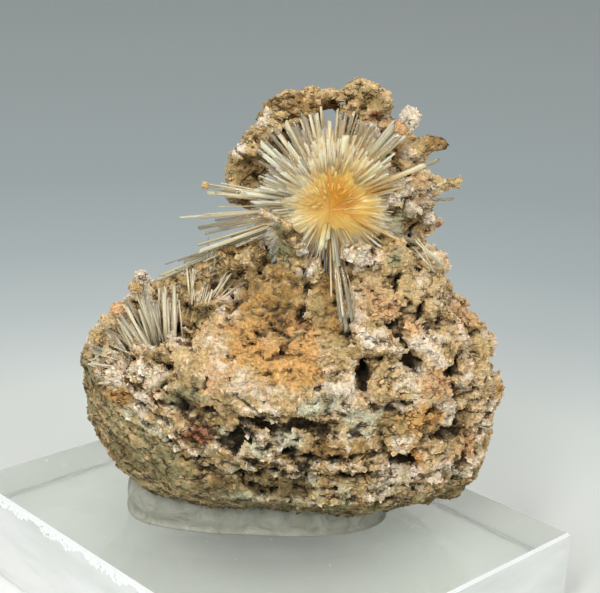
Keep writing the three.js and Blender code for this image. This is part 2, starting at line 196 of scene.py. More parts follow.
acrylic, tree, shader = new_material(
    "clear_acrylic", 0.015, (249, 253, 247), IOR=ACRYLIC_IOR, Transmission_Weight=0.75)
wiped = noise_of(tree, own_place(tree), 90.0, 4.0)[0]
tree.links.new(ranged(tree, wiped, 0.4, 0.75, 0.03, 0.16), shader.inputs["Roughness"])
sawn_side, tree, shader = new_material("sawn_side", 0.16, IOR=ACRYLIC_IOR, Transmission_Weight=0.32)
along = vector_math(tree, "MULTIPLY", own_place(tree), (1, 1, 5))
brushed = noise_of(tree, along, 60.0, 5.0)[0]
whites = ramped(tree, brushed, [(0.35, (236, 240, 238)), (0.6, (255, 255, 255))])
tree.links.new(whites, shader.inputs["Base Color"])
ground_edge = new_material("ground_edge", 0.4, (252, 254, 254), IOR=ACRYLIC_IOR, Transmission_Weight=0.2)[0]
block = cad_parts["acrylic_block"]
block.data.materials.clear()
for finish in (acrylic, sawn_side, ground_edge):
    block.data.materials.append(finish)
facings = np.array([tuple(face.normal) for face in block.data.polygons])
at_front = (facings[:, 0] > SQUARE_ON) | (facings[:, 1] < -SQUARE_ON)
finishes = np.where(np.abs(facings).max(1) < SQUARE_ON, 2, at_front)
block.data.polygons.foreach_set("material_index", finishes.astype(np.int32))
dust = new_material("dust", 0.9, (225, 224, 218))[0]
chance = np.random.default_rng(5)
spread = np.array([block_high.x - block_low.x, block_high.y - block_low.y]) / MM - 2 * DUST_MARGIN
specks = chance.uniform(-0.5, 0.5, (DUST_SPECKS, 2)) * spread
seats = to_specimen(np.column_stack([specks * MM, np.full(DUST_SPECKS, block_high.z)]))
radii = chance.uniform(0.03, 0.11, DUST_SPECKS)
points, faces = lumps(seats + np.outer(radii, [0, 0, 0.5]), radii, 6)
new_piece("dust_specks", points, faces, dust, smooth=False)
# The worn edge: flat white chips, closest together at the edge itself
worn = new_material("worn_acrylic", 0.5, (246, 249, 249))[0]
chance = np.random.default_rng(7)
along = chance.uniform(block_low.x / MM + 0.4, block_high.x / MM - 0.4, CHIPS)
bitten = 0.55 + 0.45 * np.sin(along * 0.9) * np.sin(along * 0.31)
deep = 0.3 + WORN_DEPTH * chance.random(CHIPS) ** 1.7 * bitten
seats = to_specimen(np.column_stack([along, np.full(CHIPS, block_low.y / MM), block_high.z / MM - deep]) * MM)
outward = np.repeat(to_specimen(np.array([[0, -MM, block_high.z]])), CHIPS, 0)
points, faces = lumps(seats, chance.uniform(0.08, 0.34, CHIPS), 8, outward, 0.12)
new_piece("edge_chips", points, faces, worn, smooth=False)

# The putty: a lump of off-white museum putty, pressed out by hand into a low pad between the block and
# the foot of the rock. Its sides bulge over a thin lip, and folds run up them.
PUTTY_MIDDLE = (-0.9, 0.4)
PUTTY_REACH = (16.8, 9.2)
PUTTY_HEIGHT = 3.9
PUTTY_SQUARENESS = 2.6
PUTTY_COLUMNS = 480
# Rows of reach and height from the middle of the underside round the bulging side to the middle of the top
PUTTY_PROFILE = np.array([
    [0.02, 0], [0.5, 0], [0.98, 0], [1.0, 0.01], [1.005, 0.03], [0.985, 0.06], [0.97, 0.1], [0.975, 0.2],
    [0.99, 0.35], [1.0, 0.5], [1.0, 0.65], [0.985, 0.8], [0.95, 0.93], [0.9, 1.0], [0.8, 0.98], [0.5, 0.9],
    [0.02, 0.9],
])


def grid_faces(rows, columns):
    """The quads between neighbouring rows of points, the last column joined to the first."""
    row, column = np.meshgrid(np.arange(rows - 1), np.arange(columns), indexing="ij")
    beside = (column + 1) % columns
    quads = [row * columns + column, row * columns + beside, (row + 1) * columns + beside]
    return np.stack([*quads, (row + 1) * columns + column], -1).reshape(-1, 4)


def tube_faces(rows, columns):
    """The quads of a grid of rings, and the faces that close its first and its last ring."""
    last = range((rows - 1) * columns, rows * columns)
    return grid_faces(rows, columns).tolist() + [list(range(columns))[::-1], list(last)]


def scatter(x, y, z, seed):
    """A repeatable number from 0 to 1 for each whole-number place, hashed from its numbers."""
    key = (x * 73856093) ^ (y * 19349663) ^ (z * 83492791) ^ (seed * 2654435761)
    key = key.astype(np.uint32)
    for shift, factor in ((15, 0x85EBCA6B), (13, 0xC2B2AE35)):
        key = (key ^ (key >> shift)) * np.uint32(factor)
    return (key ^ (key >> 16)) / 4294967296.0


def noise(places, size, seed):
    """Smooth noise from -1 to 1: hashed values at the corners of a lattice, blended by t²(3-2t)."""
    scaled = places / size
    low = np.floor(scaled)
    share = scaled - low
    share = share * share * (3 - 2 * share)
    low = low.astype(np.int64)
    total = np.zeros(len(places))
    for corner in itertools.product((0, 1), repeat=3):
        weight = np.prod(np.where(corner, share, 1 - share), 1)
        total += weight * scatter(*(low + corner).T, seed)
    return 2 * total - 1


def fade(values, start, end):
    """0 before start and 1 past end, smooth between them."""
    share = np.clip((values - start) / (end - start), 0, 1)
    return share * share * (3 - 2 * share)


around = np.linspace(0, 2 * math.pi, PUTTY_COLUMNS, endpoint=False)
ring = np.abs(np.cos(around)) ** PUTTY_SQUARENESS + np.abs(np.sin(around)) ** PUTTY_SQUARENESS
ring = ring ** (-1 / PUTTY_SQUARENESS)
share = np.broadcast_to(PUTTY_PROFILE[:, :1], (len(PUTTY_PROFILE), len(around)))
height = np.broadcast_to(PUTTY_PROFILE[:, 1:], share.shape)
angle = np.broadcast_to(around, share.shape)
round_about = np.stack([16 * np.cos(angle), 9 * np.sin(angle), height * 2], -1).reshape(-1, 3)
folds = noise(round_about * [1, 1, 0.4], 1.1, 3) + 0.6 * noise(round_about, 0.5, 5)
folds = folds.reshape(share.shape)
waves = noise(round_about, 6, 4).reshape(share.shape)
side = 1 + 0.016 * folds * fade(height, 0.05, 0.5) + 0.045 * waves
u = PUTTY_MIDDLE[0] + PUTTY_REACH[0] * share * ring * np.cos(angle) * side
v = PUTTY_MIDDLE[1] + PUTTY_REACH[1] * share * ring * np.sin(angle) * side
z = PUTTY_HEIGHT * height * (1 + 0.1 * waves - 0.12 * np.cos(angle))
putty_points = np.stack([u, v, z], -1).reshape(-1, 3)
putty, tree, shader = new_material("museum_putty", 0.5)
kneaded = noise_of(tree, own_place(tree), 420.0, 5.0, Distortion=1.2)[0]
greys = ramped(tree, kneaded, [(0.3, (150, 150, 134)), (0.72, (190, 190, 176))])
tree.links.new(greys, shader.inputs["Base Color"])
pressed = node(tree, "ShaderNodeBump", {"Height": kneaded, "Strength": 1.0, "Distance": 0.5 * MM})
tree.links.new(pressed.outputs[0], shader.inputs["Normal"])
faces = tube_faces(len(PUTTY_PROFILE), PUTTY_COLUMNS)
putty_pad = new_piece("putty_pad", putty_points, faces, putty)
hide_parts("mounting_putty")

# The rock: a lump of altered host rock, with bedding that curves up to both sides, broken faces, open
# cracks and a skin of knobs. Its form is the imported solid's, freed of facets and given its finer relief
# as a field: the distance to the solid less the height of the relief, meshed where the two cancel.
VOXEL = 0.44
BAND = 2.6
# The bedding's slope on the left, how fast it steepens on the right and where that starts
LEFT_RISE, RIGHT_RISE, RIGHT_START = 0.62, 0.006, 3
CRACK_STEP = 1.7
rock_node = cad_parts["matrix_rock"].data
corners = np.empty(len(rock_node.vertices) * 3, np.float32)
rock_node.vertices.foreach_get("co", corners)
rock_node.calc_loop_triangles()
triangles = np.empty(len(rock_node.loop_triangles) * 3, np.int32)
rock_node.loop_triangles.foreach_get("vertices", triangles)
corners, shared = np.unique(np.round(corners.reshape(-1, 3), 6), axis=0, return_inverse=True)
distance = openvdb.FloatGrid.createLevelSetFromPolygons(
    to_specimen(corners).astype(np.float32),
    triangles=shared.reshape(-1)[triangles].reshape(-1, 3).astype(np.uint32),
    transform=openvdb.createLinearTransform(voxelSize=VOXEL),
    halfWidth=BAND / VOXEL,
)
low, high = (np.array(corner) for corner in distance.evalActiveVoxelBoundingBox())
low -= 3
field = np.empty(high - low + 4, np.float32)
distance.copyToArray(field, ijk=tuple(int(i) for i in low))


def blurred(values, times):
    """Each value mixed with its neighbours along the three axes, so many times over."""
    for _ in range(times):
        for axis in range(3):
            values = values / 2 + (np.roll(values, 1, axis) + np.roll(values, -1, axis)) / 4
    return values


def bedding(places):
    """How high a place lies in the bedding, whose layers bend up towards both sides of the rock."""
    u, z = places[:, 0], places[:, 2]
    bend = LEFT_RISE * np.maximum(-u, 0) + RIGHT_RISE * np.maximum(u - RIGHT_START, 0) ** 2
    return z - bend + 0.7 * noise(places, 9, 21)


def noise_vector(places, size, seed):
    """Three noises of the same size, one along each axis."""
    return np.stack([noise(places, size, seed + axis) for axis in range(3)], 1)


def way_out(places, middle, radii):
    """How far out places lie in an ellipsoid: 0 in its middle and 1 on its surface."""
    return np.linalg.norm((places - middle) / radii, axis=-1)


def patch(places, middle, radii, ragged=0.25, seed=31):
    """1 in the middle of an ellipsoid and 0 past its edge, which wanders by the share ragged."""
    far = way_out(places, middle, radii)
    far = far + ragged * noise(places, 2.2, seed) + 0.6 * ragged * noise(places, 0.9, seed)
    return 1 - fade(far, 0.6, 1.2)


def cells(places, size, seed):
    """For seeds scattered one to a cube of that size: how far the nearest and the next lie, and how high a
    place stands on the nearest one's own tilted plane."""
    scaled = places / size
    home = np.floor(scaled).astype(np.int64)
    first = np.full(len(places), 9.0)
    second = first.copy()
    tilt = np.zeros(len(places))
    for step in itertools.product((-1, 0, 1), repeat=3):
        cube = home + step
        draws = np.stack([scatter(*cube.T, seed + axis) for axis in range(3)], 1)
        away = scaled - cube - draws
        far = np.linalg.norm(away, axis=1)
        slope = (away * (((draws * 7.3) % 1) * 2 - 1)).sum(1)
        tilt = np.where(far < first, slope, tilt)
        second = np.minimum(second, np.maximum(first, far))
        first = np.minimum(first, far)
    return first, second, tilt


def zones(places):
    """Where the rock has its smooth skin, its open ledges, its two broken faces and its fine crust."""
    layer = bedding(places)
    skin = 1 - fade(layer + 0.9 * noise(places, 3, 22), 6.3, 7.9)
    ledges = fade(layer, 6.3, 7.9) * (1 - fade(layer, 15, 19))
    faces = np.maximum(
        patch(places, (0.4, -8.6, 30.6), (4.3, 5, 4.8), 0.15),
        patch(places, (7, -11, 30.6), (2.7, 5, 4), 0.15),
    )
    fine = patch(places, (-2.5, -15, 24.6), (12, 7, 6.4), 0.2)
    return skin, ledges, faces, fine


def crevices(places, faces):
    """How near a place is to a crack: 1 on it and 0 some two millimetres away, where depth counts little. The
    cracks are the listed lines, which wander, and, here and there but not on the broken faces, planes of the
    bedding that lie a fixed step apart."""
    far = np.full(len(places), 2.0)
    wandered = places + (0.6 * noise_vector(places, 1.2, 101) + 0.25 * noise_vector(places, 0.5, 104))
    for line in CREVICES:
        for start, end in itertools.pairwise(np.array(line, float)):
            step = end - start
            away = wandered - start
            share = np.clip(away @ step / (step @ step), 0, 1)
            far = np.minimum(far, np.linalg.norm((away - np.outer(share, step)) * [1, 0.3, 1], axis=1))
    phase = (bedding(places) + 0.8 * noise(places, 2.6, 98) + 0.25 * noise(places, 0.9, 99)) / CRACK_STEP
    plane = np.abs(phase - np.round(phase)) * CRACK_STEP
    opened = fade(noise(places * [0.6, 1, 1.4], 2.4, 100), 0.0, 0.25)
    return np.maximum(1 - np.maximum(far - 0.08, 0) / 2, (1 - plane / 2) * opened * (1 - faces))


def relief(places, thickness):
    """How far the rock's skin stands out from its plain form, in millimetres: the sum of broad swells, knobs
    with cracks between them, small tilted facets, the bedding's plates in steps, streaks on the smooth skin,
    steps struck on the broken faces and fine grain, less the crevices and the sunken ground, each weighted
    by the zones where it belongs. Where the rock is thin, as on its fingers, all of it is less."""
    skin, ledges, faces, fine = zones(places)
    calm = np.maximum(np.maximum(0.8 * skin, faces), 0.6 * fine)
    warped = places + 0.5 * noise_vector(places, 1.9, 40)
    height = (0.6 * noise(places, 5.5, 50) + 0.4 * noise(places, 2.7, 51)) * (1 - 0.5 * calm)
    near, beyond, tilt = cells(warped, 3.6, 60)
    knobs = np.sqrt(np.clip(1 - (near / 0.85) ** 2, 0, 1)) - 0.6
    height += (0.3 * knobs * (1 - ledges) + 1.0 * tilt) * (1 - calm)
    cracks = (1 - fade(beyond - near, 0.0, 0.14)) * fade(noise(places, 5, 91), -0.2, 0.3)
    height -= 1.2 * cracks * (1 - calm)
    near, beyond, tilt = cells(warped * [1, 1, 1.5], 1.6, 70)
    height += (0.75 * tilt - 0.5 * (1 - fade(beyond - near, 0, 0.16))) * (1 - 0.75 * calm)
    layers = np.column_stack([places[:, 0], places[:, 1], bedding(places) * 4.5])
    plates = 0.6 * noise(layers, 4.6, 80) + 0.4 * noise(layers, 2.1, 81)
    plates = np.floor(plates * 4 + 0.5) / 4 * 0.7 + 0.3 * plates
    height += 1.2 * plates * (0.12 + 0.88 * ledges - 0.12 * skin) * (1 - 0.8 * fine) * (1 - faces)
    height += 0.22 * noise(layers, 2.4, 82) * skin
    struck = np.column_stack([places[:, 0] + 0.5 * places[:, 2], places[:, 1], 3 * places[:, 2]])
    height += (0.16 * noise(struck, 1.3, 84) + 0.12 * tilt + 0.3 * noise(struck, 4, 85)) * faces
    height += 0.2 * noise(places, 0.85, 83) * (1 - 0.6 * skin)
    cracked = crevices(places, faces) * (1 - 0.1 * skin) * (1 - 0.1 * fine)
    height -= 0.8 * fade(cracked, 0.75, 0.97)
    for middle, radii, depth in SUNKEN:
        sunk = patch(places, middle, radii, 0.35)
        height -= depth * sunk * (0.3 + 1.4 * np.maximum(noise(warped * [0.8, 1, 1.6], 1.7, 92), 0))
    return height * (0.3 + 0.7 * fade(thickness, 0.2, 0.42))


# Lumps laid on the plain form, as middle and radii: crust at the foot of the left fan, the edge of the plate
# below the spray, the lumps and fingers at its right, the hood's top, the foot's right, the left shoulder and
# the ledge at the spray's left
BOSSES = [
    ((-13.6, -11.6, 22.4), (2.6, 2.4, 1.6)), ((-11, -12, 26.4), (1.2, 1.2, 1.3)),
    ((-16.5, -12.2, 21.6), (2, 2, 1.3)), ((-12.2, -11.6, 24.4), (1.6, 1.6, 1.5)),
    ((-19, -9.5, 22.4), (1.6, 1.6, 1.2)), ((-15.2, -11, 24.2), (1.3, 1.3, 1.1)),
    ((-0.9, -9.6, 41.6), (1, 1, 0.9)), ((0.4, -9.7, 40.6), (1.1, 1, 1)), ((1.7, -9.7, 39.5), (1.1, 1, 1)),
    ((2.9, -9.6, 38.3), (1.2, 1, 1.1)), ((4, -9.5, 36.9), (1.3, 1.2, 1.3)),
    ((5, -9.4, 35.3), (1.3, 1.2, 1.2)), ((14.4, -6, 43.4), (1.9, 1.7, 2)),
    ((16.6, -5, 44.6), (1.7, 1.4, 1.6)), ((13.4, -6.6, 41.6), (1.4, 1.2, 1)),
    ((18.6, -4.6, 44.4), (1.2, 1.1, 1.2)), ((20.4, -4.6, 44.4), (1.2, 0.9, 1)),
    ((21.8, -4.6, 44.8), (0.9, 0.8, 0.8)), ((16, -4.2, 47.8), (1.5, 1.3, 1.3)),
    ((17.8, -3.6, 48.5), (1.3, 1.2, 1.3)), ((19.3, -3.4, 48.8), (1.1, 1.1, 1.1)),
    ((18.8, -4.4, 39.8), (1.5, 1.3, 1.3)), ((17.6, -6, 37.6), (1.5, 1.4, 1.3)),
    ((19.8, -3.6, 34.8), (1.5, 1.4, 1.4)), ((10.2, -9.2, 36.8), (2.2, 1.8, 1.6)),
    ((14.4, -9.2, 36), (2.3, 1.8, 1.8)), ((10.8, -1.6, 54.6), (2.2, 1.8, 1.1)),
    ((12.2, -2, 53.4), (1.6, 1.6, 1.6)), ((9, -1.7, 54.5), (2.1, 2, 1.5)), ((23.8, -5.6, 9.8), (3, 5, 2.6)),
    ((21.8, -6, 7.8), (3.2, 5, 2.4)), ((18.8, -7, 6.8), (3.4, 4.4, 2.2)),
    ((-8.6, -4.8, 32.8), (1.6, 1.4, 1.3)), ((-6.2, -4.4, 33), (1.6, 1.4, 1.2)),
    ((-10.4, -5.4, 31.2), (1.2, 1, 1.2)), ((-15.4, -9, 24.4), (1.3, 0.9, 1.2)),
    ((-17.6, -8.8, 26.6), (1.1, 0.8, 1)), ((-19.4, -8.4, 24.4), (1, 0.8, 0.9)),
    ((-17.8, -10.2, 22.8), (1.3, 1, 0.9)), ((-14.4, -8.4, 27.4), (0.9, 0.7, 1.2)),
    ((-9.6, -9.6, 28.4), (1.2, 1, 1)), ((-3.6, -5.2, 35.6), (2.4, 1.8, 0.9)),
    ((-5, -5.4, 34.9), (1.4, 1.4, 0.9)), ((-2.4, -4.6, 34.4), (1.6, 1.6, 1.4)),
]
# Cracks that the eye follows: round the two broken faces, under the crust at the left and under ledges
CREVICES = [
    [(-1, -6.2, 32.8), (-0.3, -8.7, 34.5), (1.4, -9.7, 34.5), (2.6, -8.9, 32.6), (3.7, -10, 31),
     (3.6, -9.8, 28.9), (4.7, -11.6, 28.3), (5.5, -12.2, 27.5), (6.6, -11.3, 28.7)],
    [(0.2, -9.4, 27.5), (1.8, -10.1, 27.3), (2.9, -11.6, 27.1), (4, -11.4, 28.3)],
    [(7.2, -8.2, 33.6), (8.2, -9, 32.3), (9.2, -10.4, 31.3)],
    [(-12, -14.4, 19.6), (-10.6, -15.2, 19.1), (-9, -15.5, 19.5), (-7.3, -15.7, 18.9)],
    [(-8.4, -15.4, 10.8), (-5.2, -16, 10.9), (-2, -16.4, 11.6), (1.2, -16.8, 11.4), (4.4, -17, 12),
     (7.4, -17, 11.6)],
    [(9.2, -17.1, 14.4), (11.5, -16.6, 15), (13.2, -16, 14.2)],
    [(14.9, -15.2, 12.6), (16.6, -15.1, 11.7)],
    [(-1.4, -16.9, 13.8), (1.8, -17.4, 13.4), (4.6, -17.3, 13.8)],
]
# Ground that lies in open pits, as middle, radii and depth
SUNKEN = [
    ((1.6, -16.5, 17), (6.4, 4, 2.2), 2.3), ((6.5, -16.5, 14.4), (5, 4, 1.2), 2),
    ((-8.8, -16, 19.2), (3.4, 4, 1.2), 1.3), ((9.5, -17, 12), (5.4, 4, 0.9), 1.6),
    ((-4, -17, 11.6), (4.4, 3, 1), 1.8), ((14.6, -15, 25.6), (4, 4, 1.2), 2),
]
# Holes and clefts that are cut again, as middle and radii; the last is the window through the hood
HOLES = [
    ((11.3, -15.4, 24.2), (0.8, 4.6, 1.7)), ((-2.8, -17.4, 16.4), (0.8, 3.4, 1.5)),
    ((-6.5, -16.4, 11.9), (1.5, 2.8, 0.8)), ((0.2, -17, 17.9), (1.5, 3, 0.6)),
    ((2.9, -17, 17.3), (1, 2.6, 0.5)), ((3.5, -17.2, 14.8), (1.4, 3, 0.7)),
    ((6.6, -17.3, 15.9), (0.8, 2.2, 0.45)), ((1.7, -16, 9.9), (1, 1.8, 0.4)),
    ((19.1, -11, 28.7), (1.7, 2.6, 0.5)), ((4.4, -15.8, 18.6), (0.7, 2.4, 0.5)),
    ((22.9, -13.4, 16), (3.4, 4.4, 0.9)), ((22.4, -13.6, 21.6), (0.9, 2.8, 1.1)),
    ((20.3, -10.4, 28.9), (2.4, 2.4, 0.5)), ((6.4, 4, 49.5), (1.2, 12, 2.4)),
]
WINDOW_SLOPE = 0.17


def rock_share(values):
    """How much of each voxel is rock, from its distance to the skin."""
    return np.clip(0.5 - values / 0.8, 0, 1)


smooth = blurred(field, 3)
for middle, radii in BOSSES:
    first = np.floor((np.array(middle) - radii) / VOXEL - low).astype(int) - 6
    last = first + np.ceil(2 * np.array(radii) / VOXEL).astype(int) + 13
    box = tuple(slice(a, b) for a, b in zip(first, last))
    inside = np.stack(np.meshgrid(*(np.arange(a, b) for a, b in zip(first, last)), indexing="ij"), -1)
    far = way_out((inside + low) * VOXEL, middle, radii)
    smooth[box] = np.minimum(smooth[box], np.clip((far - 1) * min(radii), -BAND, BAND))
smooth = blurred(smooth, 2)
near_skin = np.argwhere(np.abs(smooth) < BAND - 0.5)
places = (near_skin + low) * VOXEL
value = smooth[tuple(near_skin.T)]
thickness = blurred(rock_share(smooth), 22)[tuple(near_skin.T)]
value = value - relief(places, thickness)
ragged = noise(places, 2.1, 95) + 0.7 * noise(places, 0.9, 96)
for middle, radii in HOLES:
    leaning = places + np.outer(places[:, 1] - middle[1], [0, 0, WINDOW_SLOPE])
    far = way_out(leaning, middle, radii)
    value = np.maximum(value, -(far - 1 + 0.4 * ragged) * min(radii))
skin_field = smooth.copy()
skin_field[tuple(near_skin.T)] = value
rock_grid = openvdb.FloatGrid(BAND)
rock_grid.copyFromArray(skin_field, ijk=tuple(int(i) for i in low))
rock_grid.transform = distance.transform
rock_points, rock_quads = rock_grid.convertToQuads(0.0)


def main_body(count, quads):
    """Which points belong to the largest body: each takes the lowest number that it can reach."""
    label = np.arange(count)
    ends = np.concatenate([quads[:, [0, 1]], quads[:, [1, 2]], quads[:, [2, 3]]]).astype(np.int64)
    while True:
        lowest = label.copy()
        joined = np.minimum(label[ends[:, 0]], label[ends[:, 1]])
        np.minimum.at(lowest, ends[:, 0], joined)
        np.minimum.at(lowest, ends[:, 1], joined)
        lowest = lowest[lowest]
        if np.array_equal(lowest, label):
            break
        label = lowest
    return label == np.bincount(label).argmax()


kept = main_body(len(rock_points), rock_quads)
renumbered = np.cumsum(kept) - 1
rock_quads = renumbered[rock_quads[kept[rock_quads[:, 0]]]][:, ::-1]
rock_points = rock_points[kept].astype(float)
# How enclosed a place is: the share of rock around it at two distances, above a half in hollows
close_share = blurred(rock_share(skin_field), 5)
broad_share = blurred(close_share, 30)


def enclosure(places):
    """How closed in by rock each place is, near it and farther off, both 0 on a flat face and 1 in a hole;
    and how open it is, a half on a flat face."""
    index = tuple(np.round(places / VOXEL - low).astype(int).T)
    return fade(close_share[index], 0.5, 0.72), fade(broad_share[index], 0.46, 0.78), 1 - close_share[index]


# Tints of the rock as seen in daylight; DARK is laid mostly as painted shade in its hollows
TAN, OLIVE, SAND, PEACH = (172, 146, 98), (120, 102, 64), (212, 182, 130), (220, 178, 130)
CREAM, CRUST, OCHRE, GREEN = (220, 194, 150), (232, 216, 192), (212, 164, 100), (152, 146, 108)
BROWN, RED, DARK, GREY = (152, 120, 72), (156, 106, 74), (54, 44, 28), (208, 202, 172)
RUST = (186, 142, 80)
DISPLAY_POWER = 2.2
# Where the eye notices a tint of its own, and one band of painted light on the hood's crest: the tint, the
# middle and the reach along u, v and z
PATCHES = [
    (SAND, (4, -2, 51.5), (9, 5, 6)), (TAN, (-3.6, -2, 44.8), (2.6, 4, 2.6)),
    (CRUST, (-4.8, -3.5, 47.4), (1.3, 3, 1.2)), (CRUST, (-1.8, -3, 51), (1.3, 2, 1)),
    # The sand band along the hood's crest, at 54.2, is painted light from above
    (BROWN, (2.6, -0.4, 52.4), (3.2, 4, 1.1)), (SAND, (3, -1, 54.2), (3.4, 4, 0.8)),
    (SAND, (7.8, -1.7, 55.2), (1.6, 3, 0.9)), (RED, (6.8, -2.6, 52.8), (1.4, 2, 1)),
    (TAN, (11, -2.8, 53.6), (1.8, 3, 1.2)), (RED, (11.4, -2.4, 51.7), (1, 2, 1)),
    (PEACH, (-17.6, -8.8, 26.6), (1.1, 2, 1)), (SAND, (-15.4, -9, 24.4), (1.3, 2, 1.2)),
    (CREAM, (-19.4, -8.4, 24.4), (1, 2, 0.9)), (SAND, (-8.6, -4.8, 33), (1.6, 2, 1.3)),
    (CRUST, (11.1, -3.4, 50.1), (1.5, 3, 0.9)), (PEACH, (13.6, -2, 51.2), (1, 3, 0.9)),
    (BROWN, (18.6, -3.4, 48.9), (2, 3, 1.1)), (CRUST, (16, -4.4, 47.6), (1.6, 2, 1)),
    (CRUST, (14, -6, 43.7), (2.6, 3, 2.5)), (PEACH, (16.6, -4.4, 44.6), (1.2, 3, 1.4)),
    (OLIVE, (13.6, -6.3, 41.2), (1.6, 3, 1)), (SAND, (20.2, -4.8, 44.2), (1.6, 3, 0.9)),
    (CRUST, (18.6, -4.4, 40), (1.6, 3, 1.1)), (RED, (20.2, -3.8, 39.2), (0.7, 2, 0.7)),
    (CRUST, (17.6, -6, 37.4), (1.8, 3, 1.3)), (PEACH, (20, -3.6, 34.8), (1, 2, 1)),
    (CRUST, (10, -9.4, 36.9), (2, 3, 1.5)), (GREEN, (14.4, -9.6, 36.2), (1, 3, 1)),
    (SAND, (14.6, -9.4, 35), (2, 3, 1.2)), (CRUST, (4.4, -9.6, 37), (1.2, 3, 2.2)),
    (GREEN, (1, -6, 37.4), (1.5, 6, 2.6)), (OLIVE, (2.4, -9, 39), (1.6, 2, 0.9)),
    (BROWN, (-3.8, -4, 35.8), (2.6, 3, 0.8)), (SAND, (-2, -6, 33.4), (1.6, 3, 1)),
    (CRUST, (-8.5, -7.6, 30.2), (0.8, 2, 0.7)), (OLIVE, (-8.4, -8.2, 28.6), (1.5, 3, 0.8)),
    (PEACH, (-18.6, -4.4, 25.4), (2.2, 4, 1.6)), (CREAM, (-20.8, -5.6, 23), (1.4, 3, 1.2)),
    (CRUST, (-11.2, -12.2, 27), (1.5, 2, 1.2)), (CRUST, (-13.3, -12.2, 22.4), (1.8, 3, 1.1)),
    (GREEN, (-9.2, -15.4, 20.6), (2.2, 3, 1.5)), (CRUST, (-2.2, -16.6, 22.6), (2.2, 3, 1.1)),
    (CRUST, (10.2, -11, 30.4), (1.2, 3, 2)), (PEACH, (13.4, -10.4, 31.2), (2.6, 4, 1.5)),
    (SAND, (18.2, -10.6, 31.6), (2.6, 4, 1.6)), (PEACH, (23.4, -5, 28.6), (1.8, 4, 1.6)),
    (SAND, (25.2, -8, 24), (1.8, 5, 2.6)), (CREAM, (25.6, -9, 20.4), (2.2, 5, 3)),
    (CRUST, (23.6, -12, 22.8), (1.5, 3, 1.3)), (PEACH, (20, -15, 23.4), (2, 3, 1.8)),
    (CRUST, (17.6, -14.4, 27.6), (2, 3, 1.1)), (PEACH, (15.6, -13, 29), (1.6, 3, 1)),
    (CRUST, (11.8, -15, 28.2), (1.4, 3, 1.3)), (CRUST, (8, -16.6, 22.4), (2.6, 3, 1.3)),
    (GREY, (6.2, -16.6, 20.6), (2.6, 3, 1.2)), (GREY, (11.4, -16.6, 19), (2.4, 3, 1.6)),
    (TAN, (14.8, -16, 18.2), (1.8, 3, 1.4)), (CRUST, (21.2, -14.4, 18.6), (2, 3, 1.5)),
    (CRUST, (17.2, -15, 12.2), (1.3, 3, 0.9)), (CRUST, (21.6, -13.6, 12.6), (1.2, 3, 0.9)),
    (PEACH, (24.6, -11.4, 13.9), (1.3, 3, 1.5)), (BROWN, (7.6, -17, 15.4), (4, 3, 1.5)),
    (GREY, (-0.4, -17, 15.4), (2.6, 3, 1.2)), (GREY, (3.9, -17, 16.3), (2, 3, 0.9)),
    (GREY, (-1.4, -15.5, 8.2), (2.4, 3, 1.2)), (GREY, (-4.6, -16, 9.6), (2, 3, 0.8)),
    (CRUST, (3, -17, 9.4), (1.6, 3, 0.7)), (CRUST, (0.9, -16.5, 19.7), (1.3, 3, 0.8)),
    (RED, (2.2, -10.6, 28.2), (1.4, 2, 0.7)), (RED, (4, -10.6, 28.4), (0.8, 2, 0.6)),
    (TAN, (5.6, -11, 30.4), (0.7, 3, 1.6)), (OLIVE, (0, -17, 10), (6, 4, 1.6)),
    (CREAM, (-5, -16, 12.6), (2, 3, 0.8)), (RED, (-8, -16, 16.4), (2.5, 4, 1.6)),
    (OCHRE, (1.6, -14, 25.2), (5.2, 6, 3.1)), (OCHRE, (-1.6, -12, 28), (2.6, 6, 1)),
    (OCHRE, (18.4, -15, 19.2), (1.7, 4, 1.7)), (OCHRE, (28.4, -4.5, 19), (0.9, 3, 0.9)),
    (OCHRE, (17.4, -15, 13.9), (1, 3, 0.8)), (OCHRE, (-17.4, -13.5, 19.8), (2.2, 4, 1.1)),
]


